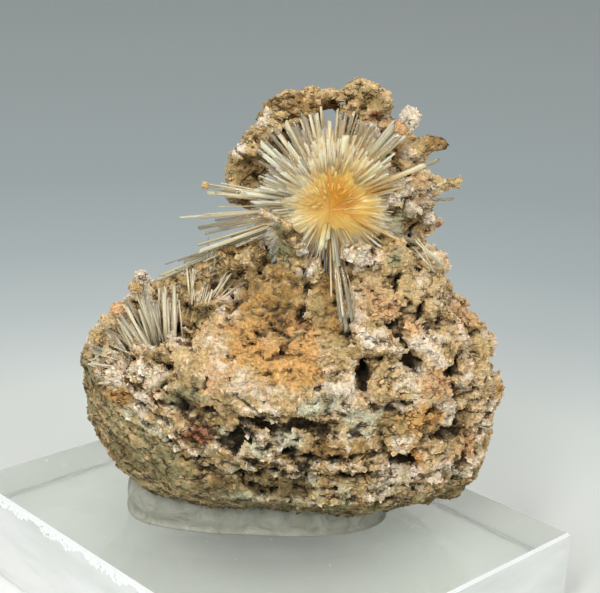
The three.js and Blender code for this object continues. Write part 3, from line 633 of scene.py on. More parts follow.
def painted(places, freedom=0.0):
    """The colour of each place of the rock in light values: tints laid over one another, each where its
    own mask passes a half. Dark is laid in hollows as painted shade, and paler tints on open knobs, the
    hood's top and the right flank are partly painted light. The whole is darker towards the foot. Freedom
    adds a chance of its own to every place, for separate grains. A fourth column says how cracked the place
    is."""
    chance = np.random.default_rng(29)
    close, broad, openness = enclosure(places)
    skin, ledges, faces, fine = zones(places)
    layers = np.column_stack([places[:, 0], places[:, 1], bedding(places) * 5])
    wide, middling, small = (noise(places, size, 110 + 7 * size) for size in (5, 2, 1))
    tiny = noise(places, 0.45, 119)
    streaks = 0.5 * noise(layers, 3.4, 120) + 0.5 * noise(layers, 1.5, 121)
    ragged = noise(places, 2.4, 33) + 0.7 * noise(places, 0.9, 34)
    own = freedom * chance.normal(0, 1, len(places))
    colours = np.repeat([TAN], len(places), 0).astype(float)

    def lay(tint, mask, soft):
        """Lays a tint over the colours where its mask passes a half, with a border that soft."""
        chancy = mask + own * fade(mask, 0, 0.3)
        colours[:] += (np.array(tint) - colours) * fade(chancy, 0.5 - soft, 0.5 + soft)[:, None]

    hood = fade(places[:, 2], 42, 46)
    # The low front of the rock, over which painted shade is laid below
    shady = patch(places, (1.5, -16.5, 14.5), (8.5, 5, 4.6), 0.3)
    lay(OLIVE, 0.32 + 0.45 * small + 0.3 * middling + 0.4 * tiny - 0.12 * hood, 0.3)
    # Paler tints lean to where the rock stands open, on knobs and edges: partly the crust's own place and
    # partly painted light
    lay(SAND, 0.36 + 0.5 * middling - 0.4 * small - 0.3 * tiny + 0.8 * (openness - 0.5), 0.25)
    lay(PEACH, 0.15 + 0.6 * wide + 0.4 * small + 1.2 * (openness - 0.5), 0.3)
    lay(BROWN, (0.08 + 0.7 * streaks) * ledges, 0.35)
    lay(GREY, ledges * (0.42 + 0.6 * small + 0.6 * middling), 0.3)
    lay(GREEN, skin * (0.85 + 0.3 * middling), 0.25)
    lay(OLIVE, skin * (0.28 + 0.9 * streaks), 0.35)
    lay(SAND, skin * (0.32 - 0.9 * streaks), 0.3)
    lay(BROWN, skin * (0.1 + 0.5 * wide + 0.4 * streaks), 0.3)
    lay(RUST, faces * (0.72 + 0.3 * small), 0.4)
    lay(OLIVE, faces * (0.2 + 0.6 * middling + 0.4 * tiny), 0.4)
    lay(OCHRE, faces * (0.1 + 0.5 * small + 0.4 * tiny), 0.4)
    lay(SAND, fine * (0.8 + 0.4 * small), 0.4)
    lay(CREAM, fine * (0.48 + 0.4 * small + 0.4 * tiny), 0.4)
    lay(PEACH, fine * (0.3 + 0.6 * middling), 0.3)
    # The white crust, more where the rock stands open: partly its own place and partly painted light
    white = 0.15 + 0.4 * wide + 0.45 * small + 0.3 * tiny + 1.5 * (openness - 0.5)
    lay(CRUST, white * (1 - skin) * (1 - faces), 0.22)
    # The hood's top is laid paler: partly its own colour and partly painted light from above
    lay(SAND, hood * (0.5 + 0.5 * small + 0.4 * tiny + openness - 0.5), 0.3)
    # The right flank is laid paler: partly its own white crust and partly painted light falling from the right
    sunny = fade(places[:, 0], 8, 15) * fade(bedding(places), 8, 12) * (1 - fade(places[:, 2], 44, 48))
    lay(SAND, sunny * (0.8 + 0.4 * small + 0.3 * tiny), 0.35)
    lay(CRUST, sunny * (0.44 + 0.6 * middling + 0.5 * small), 0.3)
    for tint, middle, radii in PATCHES:
        far = way_out(places, middle, radii)
        lay(tint, 1 - fade(far + 0.6 * ragged, 0.4, 1.5) + 0.15 * small + 0.25 * tiny, 0.4)
    # Painted shade, laid dark: where rock closes round a place, over the low front under the shady mask, and
    # over the broad hollow of the niche, less up under the hood. The ledges also get dark bands along their
    # bedding.
    lay(DARK, 0.85 * close + 0.2 * small - 0.3 * openness, 0.35)
    lay(DARK, ledges * (0.7 * fade(-streaks, 0.2, 0.6) + 0.2 * tiny), 0.35)
    lay(DARK, shady * (0.42 - 0.7 * streaks + 0.35 * small - 1.2 * (openness - 0.5)), 0.25)
    lay(DARK, broad * (0.85 - 0.62 * fade(places[:, 2], 37, 42)), 0.4)
    # Each place's own chance, and darker towards the foot
    colours *= 1 + 0.45 * own[:, None] - 0.32 * (1 - fade(places[:, 2], 2, 9))[:, None]
    light = np.clip(colours / 255, 0, 1) ** DISPLAY_POWER
    cracked = 1 - 0.4 * faces - 0.45 * fine - 0.4 * fade(light.mean(1), 0.3, 0.6)
    return np.column_stack([light, np.clip(cracked, 0.12, 1)])


def new_group(name, first):
    """A node group that is given three numbers, the last two the least and most gain of its tint, and puts
    out a colour and a height; returns it with the sockets that it reads and fills."""
    group = bpy.data.node_groups.new(name, "ShaderNodeTree")
    for socket in (first, "Least", "Most"):
        group.interface.new_socket(socket, in_out="INPUT", socket_type="NodeSocketFloat")
    group.interface.new_socket("Color", in_out="OUTPUT", socket_type="NodeSocketColor")
    group.interface.new_socket("Height", in_out="OUTPUT", socket_type="NodeSocketFloat")
    given = group.nodes.new("NodeGroupInput").outputs
    return group, given, group.nodes.new("NodeGroupOutput").inputs


def toned_group():
    """The attribute named tone, lighter and darker by the lumps of a noise; its height is the noise."""
    group, given, taken = new_group("toned", "Grains per metre")
    pattern = noise_of(group, own_place(group), given[0], 3.0, Roughness=0.65)[0]
    gain = ranged(group, pattern, 0.3, 0.7, given[1], given[2])
    tone = node(group, "ShaderNodeAttribute", attribute_name="tone").outputs["Color"]
    group.links.new(vector_math(group, "MULTIPLY", tone, gain), taken[0])
    group.links.new(pattern, taken[1])
    return group


toned = toned_group()


def finish_with(group, tree, shader, values, bump=0.0):
    """Places a group in a material with these values for its inputs, and links its colour and, where a
    depth in metres is given for the bumps, its height."""
    used = node(tree, "ShaderNodeGroup", node_tree=group)
    for index, value in enumerate(values):
        used.inputs[index].default_value = value
    tree.links.new(used.outputs[0], shader.inputs["Base Color"])
    if bump:
        bumped = node(tree, "ShaderNodeBump", {"Height": used.outputs[1], "Strength": 1.0, "Distance": bump})
        tree.links.new(bumped.outputs[0], shader.inputs["Normal"])


def number_math(tree, operation, *values):
    """The number that a Math node makes of these sockets and values."""
    return node(tree, "ShaderNodeMath", dict(enumerate(values)), operation=operation).outputs[0]


def crazed_group():
    """The attribute named tone under fine cracks: two warped Voronoi patterns darken it along their edges,
    where a noise lets them, as do the cracks of the attribute named crevice, frayed by a noise. A finer
    noise makes it lighter, darker, warmer and cooler."""
    group, given, taken = new_group("crazed", "Crack depth")
    place = own_place(group)
    stir = noise_of(group, place, 1100.0, 4.0)
    shift = vector_math(group, "MULTIPLY", stir[1], (0.0008,) * 3)
    stirred = vector_math(group, "ADD", place, shift)
    squat = vector_math(group, "MULTIPLY", stirred, (1, 1, 2.2))
    gate = noise_of(group, place, 700.0, 2.0)[0]
    dark = 0.0
    for scale, wide, least in ((520.0, 0.08, 0.46), (1300.0, 0.1, 0.55)):
        edges = node(group, "ShaderNodeTexVoronoi", {"Vector": squat, "Scale": scale},
                     feature="DISTANCE_TO_EDGE")
        line = ranged(group, edges.outputs["Distance"], 0.0, wide, 1.0, 0.0)
        line = number_math(group, "MULTIPLY", line, ranged(group, gate, least, least + 0.1))
        dark = number_math(group, "MAXIMUM", line, dark)
    pattern = noise_of(group, place, 2400.0, 3.0, Roughness=0.65)
    gain = ranged(group, pattern[0], 0.3, 0.7, given[1], given[2])
    tone = node(group, "ShaderNodeAttribute", attribute_name="tone").outputs
    dark = number_math(group, "MULTIPLY", dark, tone["Alpha"])
    near = node(group, "ShaderNodeAttribute", attribute_name="crevice").outputs["Fac"]
    frayed = number_math(group, "MULTIPLY_ADD", stir[0], 0.22, near)
    dark = number_math(group, "MAXIMUM", ranged(group, frayed, 0.99, 1.07), dark)
    loss = number_math(group, "MULTIPLY", dark, given[0])
    left = vector_math(group, "MULTIPLY_ADD", loss, (-0.96, -1.04, -1.1), (1, 1, 1))
    gain = vector_math(group, "MULTIPLY", gain, left)
    leaning = node(group, "ShaderNodeMapRange", {
        "Vector": pattern[1], "From Min": (0.3,) * 3, "From Max": (0.7,) * 3,
        "To Min": (0.92, 0.94, 0.84), "To Max": (1.08, 1.06, 1.16)}, data_type="FLOAT_VECTOR").outputs[1]
    tinted = vector_math(group, "MULTIPLY", tone["Color"], leaning)
    group.links.new(vector_math(group, "MULTIPLY", tinted, gain), taken[0])
    group.links.new(number_math(group, "SUBTRACT", pattern[0], dark), taken[1])
    return group


crazed = crazed_group()
stone, tree, shader = new_material("tan_matrix", 0.85, Specular_IOR_Level=0.35)
finish_with(crazed, tree, shader, (0.8, 0.64, 1.36), 0.35 * MM)
rock = new_piece("rock_body", rock_points, rock_quads, stone, colours=painted(rock_points))
cracked = crevices(rock_points, zones(rock_points)[2])
crack_layer = rock.data.attributes.new("crevice", "FLOAT", "POINT")
crack_layer.data.foreach_set("value", cracked.astype(np.float32))
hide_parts("matrix_rock")

# The crumbs: the flakes that the rock breaks into, laid over one another on its broken sides and along its
# bedding, and the sugary grains of calcite and aragonite on its pale crust. Each is a closed lump.
CRUMBS = 24200
quad_corners = rock_points[rock_quads]
diagonals = np.cross(quad_corners[:, 2] - quad_corners[:, 0], quad_corners[:, 3] - quad_corners[:, 1])
area = np.linalg.norm(diagonals, axis=1) / 2
normal = diagonals / np.maximum(np.linalg.norm(diagonals, axis=1), 1e-9)[:, None]
middle = quad_corners.mean(1)
skin, ledges, faces, _ = zones(middle)
_, broad, openness = enclosure(middle)
clear_of_cracks = 1 - 0.85 * fade(crevices(middle, faces), 0.78, 0.92)
paleness = fade(painted(middle)[:, :3].mean(1), 0.34, 0.6)
grain, tree, shader = new_material("crystal_grain", 0.6)
finish_with(crazed, tree, shader, (0.5, 0.74, 1.26))


def shared_facing(places, normals, seed):
    """The upright of each flake: the rock's own normal, tipped by a vector that keeps one value through
    each small block of the rock, so that neighbouring flakes make one facet, and shaken a little."""
    steps = np.round(2 * noise_vector(places, 2.4, seed))
    return normals + 0.7 * steps + np.random.default_rng(seed).normal(0, 0.22, places.shape)


def bedded_facing(places, seed):
    """The upright of each flake along the bedding: the way in which the layers rise, shaken a little."""
    u = places[:, 0]
    rise = np.where(u < 0, LEFT_RISE, -2 * RIGHT_RISE * np.maximum(u - RIGHT_START, 0))
    shaken = np.random.default_rng(seed).normal(0, 0.3, places.shape)
    return np.column_stack([rise, 0 * u - 0.35, 0 * u + 1]) + shaken


# Each kind's name, how much it likes each quad of the rock, its least size, how much larger it may be and
# how thick it is
KINDS = [
    ("rock_flakes", area * (0.35 + openness) * (1 - 0.8 * skin) * (1 - 0.93 * faces), 0.13, 0.36, 0.3),
    ("bedding_flakes", area * (0.15 + ledges + 0.3 * skin) * (1 - 0.9 * faces), 0.1, 0.36, 0.22),
    ("crust_grains", area * (0.06 + paleness) * (1 - 0.95 * skin) * (1 - 0.9 * faces), 0.08, 0.13, 1.0),
]
for index, (name, liking, least, more, thick) in enumerate(KINDS):
    chance = np.random.default_rng(70 + index)
    liking = liking * (1 - 0.8 * broad) * clear_of_cracks
    picked = chance.choice(len(area), CRUMBS, p=liking / liking.sum())
    size = least + more * chance.random(CRUMBS) ** 3
    seats = middle[picked] + normal[picked] * (size * 0.1)[:, None] + chance.normal(0, 0.05, (CRUMBS, 3))
    facing = None
    if name == "rock_flakes":
        facing = shared_facing(seats, normal[picked], 140)
    if name == "bedding_flakes":
        facing = bedded_facing(seats, 145)
    points, grain_faces = lumps(seats, size, 80 + index, facing, thick)
    # Each takes the rock's colour at its seat, painted shade and light included
    colours = np.repeat(painted(middle[picked], 0.11), len(LUMP_CORNERS), 0)
    new_piece(name, points, grain_faces, grain, smooth=False, colours=colours)

# The main spray: some hundreds of aragonite needles grown out from one point in the hollow under the
# hood, glassy and colourless towards their tips and packed into a milky, honey-yellow mass where they meet.
SPRAY_CENTRE = np.array([6.6, -4, 41.2])
NICHE_MIDDLE, NICHE_RADII = np.array([6, -6.5, 43.4]), np.array([8.2, 8.5, 9.8])
# Rods that the eye follows on their own, as tip and radius
GLASSY_RODS = [
    ((-8.3, -5, 43.2), 0.34), ((-7.4, -6.2, 43.4), 0.3), ((-7.8, -5.4, 42.4), 0.26),
    ((-6.4, -6.6, 42.6), 0.3), ((-10.9, -6, 39.4), 0.17), ((-8.5, -6, 39.5), 0.24), ((-8.6, -6, 38.2), 0.3),
    ((-7.8, -6.6, 37.8), 0.24), ((-13.9, -5, 31.2), 0.2), ((-13.3, -5, 31.9), 0.2), ((-10.3, -6, 34), 0.27),
    ((-9.5, -6.4, 34.8), 0.25), ((-8.6, -6.8, 35.6), 0.3), ((-11.2, -6.2, 33), 0.22),
    ((-8.9, -5.4, 34.5), 0.24), ((-1, -6, 46.2), 0.4), ((0, -5.6, 47.6), 0.36), ((-1.4, -5.4, 43.7), 0.36),
    ((1.8, -5, 49.4), 0.36), ((3.4, -4.6, 50), 0.32), ((4.6, -4.2, 50.8), 0.3), ((6.2, -4, 51.2), 0.3),
    ((7.6, -4, 51.3), 0.32), ((9.4, -4.6, 50.6), 0.36), ((10.6, -5, 49.4), 0.32), ((14, -8, 50.4), 0.4),
    ((18.5, -9.4, 48.2), 0.3), ((17, -9.6, 47.6), 0.3), ((12.6, -9.4, 39.6), 0.32),
    ((9.1, -13, 28.6), 0.26), ((8.6, -12.6, 30.2), 0.26), ((8.4, -13, 29.4), 0.24),
    ((9.6, -12.8, 29.8), 0.22), ((17.9, -5, 36.9), 0.3), ((16.6, -6.4, 36.4), 0.28),
    ((14.6, -8, 38.4), 0.3), ((19.8, -2.6, 42), 0.28), ((21.4, -2.6, 42.2), 0.22),
]
MILKY_RODS = [
    ((15, -6.6, 51.8), 0.62), ((14.3, -7.2, 50.7), 0.56), ((13.6, -6.4, 51.3), 0.4), ((5.7, -8.8, 37), 0.5),
    ((8, -6.6, 50), 0.5), ((-1.8, -6, 48.6), 0.38), ((-1.2, -7, 47.4), 0.3), ((1.4, -7, 49), 0.3),
    ((12.2, -8.6, 47.2), 0.32), ((13.6, -8.6, 48.6), 0.26), ((2.2, -8.6, 37.6), 0.36),
    ((3.2, -9, 36.2), 0.3), ((8, -9.6, 35.2), 0.34), ((9.8, -9.4, 36), 0.3), ((-3.2, -7.4, 42.9), 0.36),
    ((-2.4, -7.8, 42), 0.3),
]


def needles(roots, tips, radii, seed, sides=8):
    """Rods with that many sides from roots to tips, parallel along most of their length, whose ends are cut
    slantwise like a chisel. Each rod's section is flattened, turned at random, and its corners stand further
    out or in, which flutes its sides. The last thing returned says which faces are sides, shaded round."""
    chance = np.random.default_rng(seed)
    count = len(roots)
    axis = tips - roots
    length = np.linalg.norm(axis, axis=1)[:, None]
    axis = axis / length
    across = np.cross(axis, chance.normal(size=(count, 3)))
    across /= np.linalg.norm(across, axis=1)[:, None]
    beside = np.cross(axis, across)
    angle = np.linspace(0, 2 * math.pi, sides, endpoint=False)
    turn = angle[None, :, None]
    flat = chance.uniform(0.55, 1.0, (count, 1))
    flutes = chance.uniform(0.72, 1.12, (count, sides, 1))
    slant = chance.uniform(0.3, 1.3, (count, 1))
    spoke = (np.cos(turn) * across[:, None] + np.sin(turn) * (flat * beside)[:, None]) * flutes
    rings = []
    # Each ring's place along the rod, its width and how much of the slant it is cut back by
    for share, width, cut in ((0.0, 0.75, 0.0), (0.35, 1.0, 0.0), (1.0, 0.95, 1.0), (1.0, 0.45, 0.5)):
        middle = roots + axis * (length * share)
        back = cut * slant * (np.cos(angle)[None] * width + 1.4 - width) * radii[:, None]
        ring = middle[:, None] + spoke * (radii * width)[:, None, None] - axis[:, None] * back[..., None]
        rings.append(ring)
    rows = len(rings)
    start = rows * sides * np.arange(count)[:, None, None]
    quads = (grid_faces(rows, sides)[None] + start).reshape(-1, 4)
    caps = np.array([np.arange(sides)[::-1], np.arange(sides) + (rows - 1) * sides])
    ends = (caps[None] + start).reshape(-1, sides)
    rounded = np.arange(len(quads) + len(ends)) < len(quads)
    return np.stack(rings, 1).reshape(-1, 3), quads.tolist() + ends.tolist(), rounded


def niche_reach(direction):
    """How far a ray from the spray's centre runs before it meets the wall of the hollow, an ellipsoid: the
    greater root of its quadratic."""
    start = (SPRAY_CENTRE - NICHE_MIDDLE) / NICHE_RADII
    step = direction / NICHE_RADII
    a, b, c = (step * step).sum(1), (step * start).sum(1), (start * start).sum() - 1
    return (-b + np.sqrt(b * b - a * c)) / a


def directions(count, seed, most_forward, most_back):
    """Unit vectors spread evenly by the golden angle, then shaken; they lean to the viewer and away by no
    more than those shares of their length."""
    number = np.arange(count)
    v = most_forward + (most_back - most_forward) * (2 * number + 1) / (2 * count)
    turn = number * math.pi * (3 - 5 ** 0.5)
    out = np.sqrt(1 - v * v)
    aim = np.stack([out * np.cos(turn), v, out * np.sin(turn)], 1)
    aim += np.random.default_rng(seed).normal(0, 0.05, aim.shape)
    return aim / np.linalg.norm(aim, axis=1)[:, None]


def bundled(rods, seed):
    """The tips and radii of the listed rods with two thinner, shorter ones close beside each."""
    chance = np.random.default_rng(seed)
    tips = np.array([tip for tip, _ in rods])
    radii = np.array([radius for _, radius in rods])
    repeat = np.repeat(np.arange(len(rods)), 2)
    shortened = (tips[repeat] - SPRAY_CENTRE) * chance.uniform(0.02, 0.25, (len(repeat), 1))
    beside = tips[repeat] + chance.normal(0, 0.5, (len(repeat), 3)) - shortened
    thinner = radii[repeat] * chance.uniform(0.35, 0.7, len(repeat))
    return np.concatenate([tips, beside]), np.concatenate([radii, thinner])


CLEAR, CREAMY, PALE, HONEY, AMBER = (np.array(linear(*tint)[:3]) for tint in (
    (255, 247, 220), (255, 238, 198), (254, 229, 178), (250, 204, 110), (236, 167, 44)))
AMBER_MIDDLE = SPRAY_CENTRE + [1.4, -2, 0.9]
HONEY_AT, PALE_AT, CLEAR_AT = 3.4, 6.4, 10.5


def honeyed(points, clear_at=CLEAR_AT, clear=CLEAR):
    """The needles' tint by the distance from the deepest colour: amber, honey, pale and then clear."""
    far = way_out(points, AMBER_MIDDLE, 1) + 0.6 * noise(points, 1.6, 130) + 0.9 * noise(points, 3.4, 131)
    colours = AMBER
    for tint, start, end in ((HONEY, 0.6, HONEY_AT), (PALE, HONEY_AT, PALE_AT), (clear, PALE_AT, clear_at)):
        colours = colours + (tint - colours) * fade(far, start, end)[:, None]
    return colours


def from_centre(tips, least, most, seed):
    """Where rods with those tips start: between least and most millimetres out from the spray's centre."""
    length = np.linalg.norm(tips - SPRAY_CENTRE, axis=1)[:, None]
    start = np.random.default_rng(seed).uniform(least, most, length.shape)
    return SPRAY_CENTRE + (tips - SPRAY_CENTRE) * start / length


chance = np.random.default_rng(11)
FILL, COLUMNS, LONGEST_FILL = 150, 54, 10.8
aim = directions(FILL, 9, -0.45, 0.5)
reach = niche_reach(aim) * chance.uniform(0.64, 1.12, FILL)
fill_tips = SPRAY_CENTRE + aim * np.minimum(reach, LONGEST_FILL)[:, None]
glassy_tips, glassy_radii = bundled(GLASSY_RODS, 12)
# Parallel columns reach up into the hood, under its arch, on both sides of its window
COLUMN_SPAN, COLUMN_TOP = (-2.4, 12.4), 52.8
WINDOW_AT, WINDOW_HALF = 6.3, 0.7
across = np.linspace(*COLUMN_SPAN, COLUMNS)
across = across[np.abs(across - WINDOW_AT) > WINDOW_HALF]
count = len(across)
column_tips = np.column_stack([across + chance.normal(0, 0.15, count), chance.uniform(-5.6, -1.4, count),
                               COLUMN_TOP - 0.055 * (across - 6.4) ** 2 - 1.4 * chance.random(count)])
tips = np.concatenate([glassy_tips, fill_tips, column_tips])
fill_radii = 0.12 + 0.22 * chance.random(FILL) ** 2
radii = np.concatenate([glassy_radii, fill_radii, chance.uniform(0.12, 0.32, count)])


def aragonite(name, roughness, values, **sockets):
    """A crystal's material: the toned group with these values, and how strongly this mineral bends light."""
    material, tree, shader = new_material(name, roughness, IOR=1.53, **sockets)
    finish_with(toned, tree, shader, values)
    return material


honey_mass = aragonite("honey_aragonite", 0.22, (2 / MM, 0.92, 1.06), Transmission_Weight=0.15,
                       Subsurface_Weight=0.75, Subsurface_Scale=0.003, Subsurface_Radius=(1.0, 0.7, 0.4))
milky = aragonite("milky_aragonite", 0.16, (2 / MM, 0.9, 1.04), Transmission_Weight=0.34)
crystal = aragonite("glassy_aragonite", 0.08, (2 / MM, 0.94, 1.04), Transmission_Weight=0.74)
MILKY_TINT = (1.0, 0.96, 0.86)


def new_rods(name, rods, seed, sides, material, tint, milky_share):
    """A piece of needles tinted by a function of their points. That share of them, picked at random, is
    creamier and of the milky material instead."""
    points, faces, rounded = needles(*rods, seed, sides)
    count = len(rods[0])
    picked = np.random.default_rng(seed + 13).random(count) < milky_share
    creamy = np.where(np.repeat(picked, len(points) // count)[:, None], MILKY_TINT, 1)
    piece = new_piece(name, points, faces, material, smooth=rounded, colours=tint(points) * creamy)
    piece.data.materials.append(milky)
    index = np.concatenate([np.repeat(picked, len(faces) // count - 2), np.repeat(picked, 2)])
    piece.data.polygons.foreach_set("material_index", index.astype(np.int32))
    return piece


rods = (from_centre(tips, 2.6, 4.2, 10), tips, radii)
spray = new_rods("spray_needles", rods, 12, 8, crystal, honeyed, 0.4)
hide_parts("main_spray")
CORE, FORWARD = 1500, 120
# Most rods lie against the heart and grow out from under its rim; some short ones, longest towards the hood,
# stand on it and point to the viewer
aim = directions(CORE, 14, -0.5, 0.2)
chance = np.random.default_rng(13)
core_tips = SPRAY_CENTRE + aim * (5.2 + 4 * chance.random(CORE) ** 1.2 + 1.2 * noise(aim * 6, 2, 27))[:, None]
milky_tips, milky_radii = bundled(MILKY_RODS, 16)
aim = directions(FORWARD, 22, -0.9, -0.5)
aim = aim[aim[:, 2] > 0]
short_tips = SPRAY_CENTRE + aim * (chance.uniform(3, 4.6, len(aim)) + 1.4 * aim[:, 2])[:, None]
tips = np.concatenate([core_tips, milky_tips, short_tips])
roots = np.concatenate([from_centre(core_tips, 2.8, 4.8, 19), from_centre(milky_tips, 1.6, 3, 23),
                        from_centre(short_tips, 1.6, 2.2, 24)])
core_radii = 0.07 + 0.17 * chance.random(CORE) ** 1.5
radii = np.concatenate([core_radii, milky_radii, chance.uniform(0.06, 0.15, len(aim))])
points, faces, rounded = needles(roots, tips, radii, 15, 6)
new_piece("spray_core", points, faces, honey_mass, smooth=rounded,
          colours=honeyed(points, clear=CREAMY))
# The heart of the mass, where the needles have grown solid: a shallow bowl open to the viewer, a skirt that
# falls back from its rim behind the rods, and a flat cone that closes it. Fine ridges run out from the middle
# over both, as the needles do.
HEART_RIM, HEART_SKIRT, RAYS = 5.4, 8.2, 480
# Each stretch as its first and last reach, its first and last place along v and how many rows it has
HEART_STRETCHES = [
    ((0.05, HEART_RIM), (-2.2, -2.6), 28),
    ((HEART_RIM + 0.15, HEART_SKIRT), (-2.5, 1.2), 18),
    ((HEART_SKIRT - 0.6, 0.05), (1.5, 3.2), 7),
]
rows = np.concatenate([
    np.column_stack([np.linspace(*reaches, count), np.linspace(*depths, count)])
    for reaches, depths, count in HEART_STRETCHES])
turn = np.linspace(0, 2 * math.pi, RAYS, endpoint=False)
wide, out = np.broadcast_arrays(turn[None], rows[:, :1])
ray = np.stack([8 * np.cos(wide), 8 * np.sin(wide), 0.35 * out], -1).reshape(-1, 3)
ridge = (0.6 * noise(ray, 0.3, 16) + 0.5 * noise(ray, 0.9, 17) + 0.5 * noise(ray, 3, 18)).reshape(wide.shape)
lobes = noise(ray, 5, 28).reshape(wide.shape)
along = out / HEART_RIM
in_front = (rows[:, 1:] < 1.3) * np.ones_like(out)
reach = out * (1 + in_front * (0.16 * ridge + 0.2 * lobes) * np.minimum(along, 1))
depth = rows[:, 1:] - in_front * (0.35 * ridge + 0.6 * lobes) * np.minimum(along, 1.5) ** 0.6
points = SPRAY_CENTRE + np.stack([reach * np.cos(wide), depth, reach * np.sin(wide)], -1).reshape(-1, 3)
tints = honeyed(points, 11.5) * (1 + 0.1 * noise(ray, 0.35, 26))[:, None]
new_piece("spray_heart", points, tube_faces(len(rows), RAYS), honey_mass,
          colours=np.minimum(tints, 1))

# The left fan: smaller sprays on the shoulder, clear rods in front and rods crusted with tan grains behind
# and above them, and some tufts of fine needles near them and in a cleft of the right side.
# Each group of rods as its root, its first and last tip, how many it has and their radius
FAN_GROUPS = [
    ((-11.9, -8, 24.3), (-13.4, -6.4, 31.4), (-10.5, -7.2, 31), 19, 0.19),
    ((-13.2, -8.2, 24.2), (-16.6, -6.8, 30), (-14.4, -8, 31.4), 13, 0.18),
    ((-13.9, -8.8, 21.4), (-20.2, -7.6, 26.2), (-16.6, -9, 29.6), 18, 0.18),
    ((-15.6, -9.4, 21.4), (-21.9, -7, 21.2), (-20.8, -8, 25.2), 16, 0.17),
    ((-15.4, -10.6, 21), (-20.8, -11.4, 20.4), (-20.2, -11, 23.8), 12, 0.15),
]
TUFT_GROUPS = [
    ((-9.1, -7.6, 29.8), (-9.9, -5.6, 34.4), (-8.9, -5.8, 33.8), 6, 0.13),
    ((-7, -5.6, 33.4), (-7.3, -4.8, 38), (-6.5, -5, 36.4), 3, 0.1),
    ((-6.7, -6.4, 29.6), (-4.8, -5, 33.2), (-3.4, -5, 32), 6, 0.13),
    ((-8, -7.4, 29.4), (-7.4, -6.6, 32.4), (-6.2, -6.8, 31.6), 5, 0.12),
    ((24, -8, 16.8), (27.4, -9.2, 16.6), (26.8, -9.6, 15.6), 5, 0.1),
    ((17.2, -7, 37.6), (20, -7.2, 35.4), (19.2, -8, 34.8), 5, 0.14),
]
CRUSTED_RODS = [
    ((-13.2, -7.6, 25), (-14.9, -7, 32.4), 0.5), ((-13.4, -7.4, 25), (-15.9, -7, 31.4), 0.46),
    ((-14, -7.6, 23), (-17.8, -7.6, 28.4), 0.4), ((-14.4, -8, 22.4), (-19.4, -8, 26.6), 0.36),
    ((-14.6, -8.2, 21.4), (-21, -8.2, 24.2), 0.34), ((-7.4, -5.4, 29.4), (-7.8, -4.6, 33.6), 0.5),
    ((-6, -5, 30), (-5.4, -4, 33.4), 0.4),
]


def spread_rods(groups, seed):
    """The roots, tips and radii of all groups: tips spaced from the first to the last and shaken, some
    rods shorter than others, their roots close together."""
    chance = np.random.default_rng(seed)
    roots, tips, radii = [], [], []
    for root, first, last, count, radius in groups:
        share = np.linspace(0, 1, count)[:, None]
        ends = np.array(first) * (1 - share) + np.array(last) * share
        starts = root + chance.normal(0, 2 * radius, (count, 3)) + 0.55 * (ends - ends.mean(0))
        ends = ends + chance.normal(0, 0.35, (count, 3))
        roots.append(starts)
        tips.append(starts + (ends - starts) * chance.uniform(0.68, 1.02, (count, 1)))
        radii.append(radius * chance.uniform(0.55, 1.35, count))
    return np.concatenate(roots), np.concatenate(tips), np.concatenate(radii)


def fan_tinted(points):
    """One clear tint for every point of the fan."""
    return np.repeat([linear(255, 247, 222)[:3]], len(points), 0)


fan_crystal = aragonite("clear_aragonite", 0.08, (1.2 / MM, 0.86, 1.06), Transmission_Weight=0.66)
rods = spread_rods(FAN_GROUPS, 18)
fan = new_rods("fan_needles", rods, 18, 8, fan_crystal, fan_tinted, 0.62)
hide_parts("left_spray")
rods = spread_rods(TUFT_GROUPS, 20)
new_rods("needle_tufts", rods, 20, 6, fan_crystal, fan_tinted, 0.62)
roots, tips, radii = (np.array(column, float) for column in zip(*CRUSTED_RODS))
points, faces, _ = needles(roots, tips, radii, 21)
new_piece("crusted_rods", points, faces, stone, smooth=False, colours=painted(points))

# The crusted tips: knobs of white and tan grains that have grown on the ends of some needles and along
# the crusted rods. Each is a sphere drawn in and out by noise, with loose grains seated on it.
TIPS = [
    ((15.2, -6.6, 52.2), (1.15, 1.0, 1.2), CRUST), ((14.3, -6.8, 51.2), (0.7, 0.7, 0.7), PEACH),
    ((-8.0, -5.0, 43.15), (0.4, 0.35, 0.35), SAND), ((-15.1, -7.2, 32.2), (0.9, 0.8, 0.8), CRUST),
    ((-15.8, -7.6, 31.2), (0.7, 0.7, 0.8), SAND), ((-17.6, -8.4, 28.6), (0.9, 0.9, 0.8), PEACH),
    ((-18.8, -8.6, 27.2), (0.9, 0.9, 0.8), CREAM), ((-20.2, -9.2, 25.4), (0.8, 0.8, 0.8), SAND),
]
GRAINS_ON_TIP = 260
BALL_ROWS, BALL_COLUMNS = 24, 36
polar, turn = np.meshgrid(np.linspace(0.02, math.pi - 0.02, BALL_ROWS),
                          np.linspace(0, 2 * math.pi, BALL_COLUMNS, endpoint=False), indexing="ij")
out = np.stack([np.sin(polar) * np.cos(turn), np.sin(polar) * np.sin(turn), np.cos(polar)], -1).reshape(-1, 3)
ball_faces = [face[::-1] for face in tube_faces(BALL_ROWS, BALL_COLUMNS)]
chance = np.random.default_rng(41)
knob_points, knob_faces, knob_colours, seats = [], [], [], []
for middle, radii, tint in TIPS:
    swollen = 1 + 0.25 * noise(out + middle, 0.5, 42) + 0.1 * noise(out + middle, 0.2, 43)
    shape = middle + out * radii * swollen[:, None]
    knob_faces += [[corner + len(out) * len(knob_points) for corner in face] for face in ball_faces]
    knob_points.append(shape)
    knob_colours.append(np.repeat([linear(*tint)[:3]], len(out), 0))
    seats.append(shape[chance.integers(BALL_COLUMNS, len(out) - BALL_COLUMNS, GRAINS_ON_TIP)])
new_piece("tip_knobs", np.concatenate(knob_points), knob_faces, stone,
          colours=np.concatenate(knob_colours))
seats = np.concatenate(seats)
points, grain_faces = lumps(seats, chance.uniform(0.08, 0.2, len(seats)), 44)
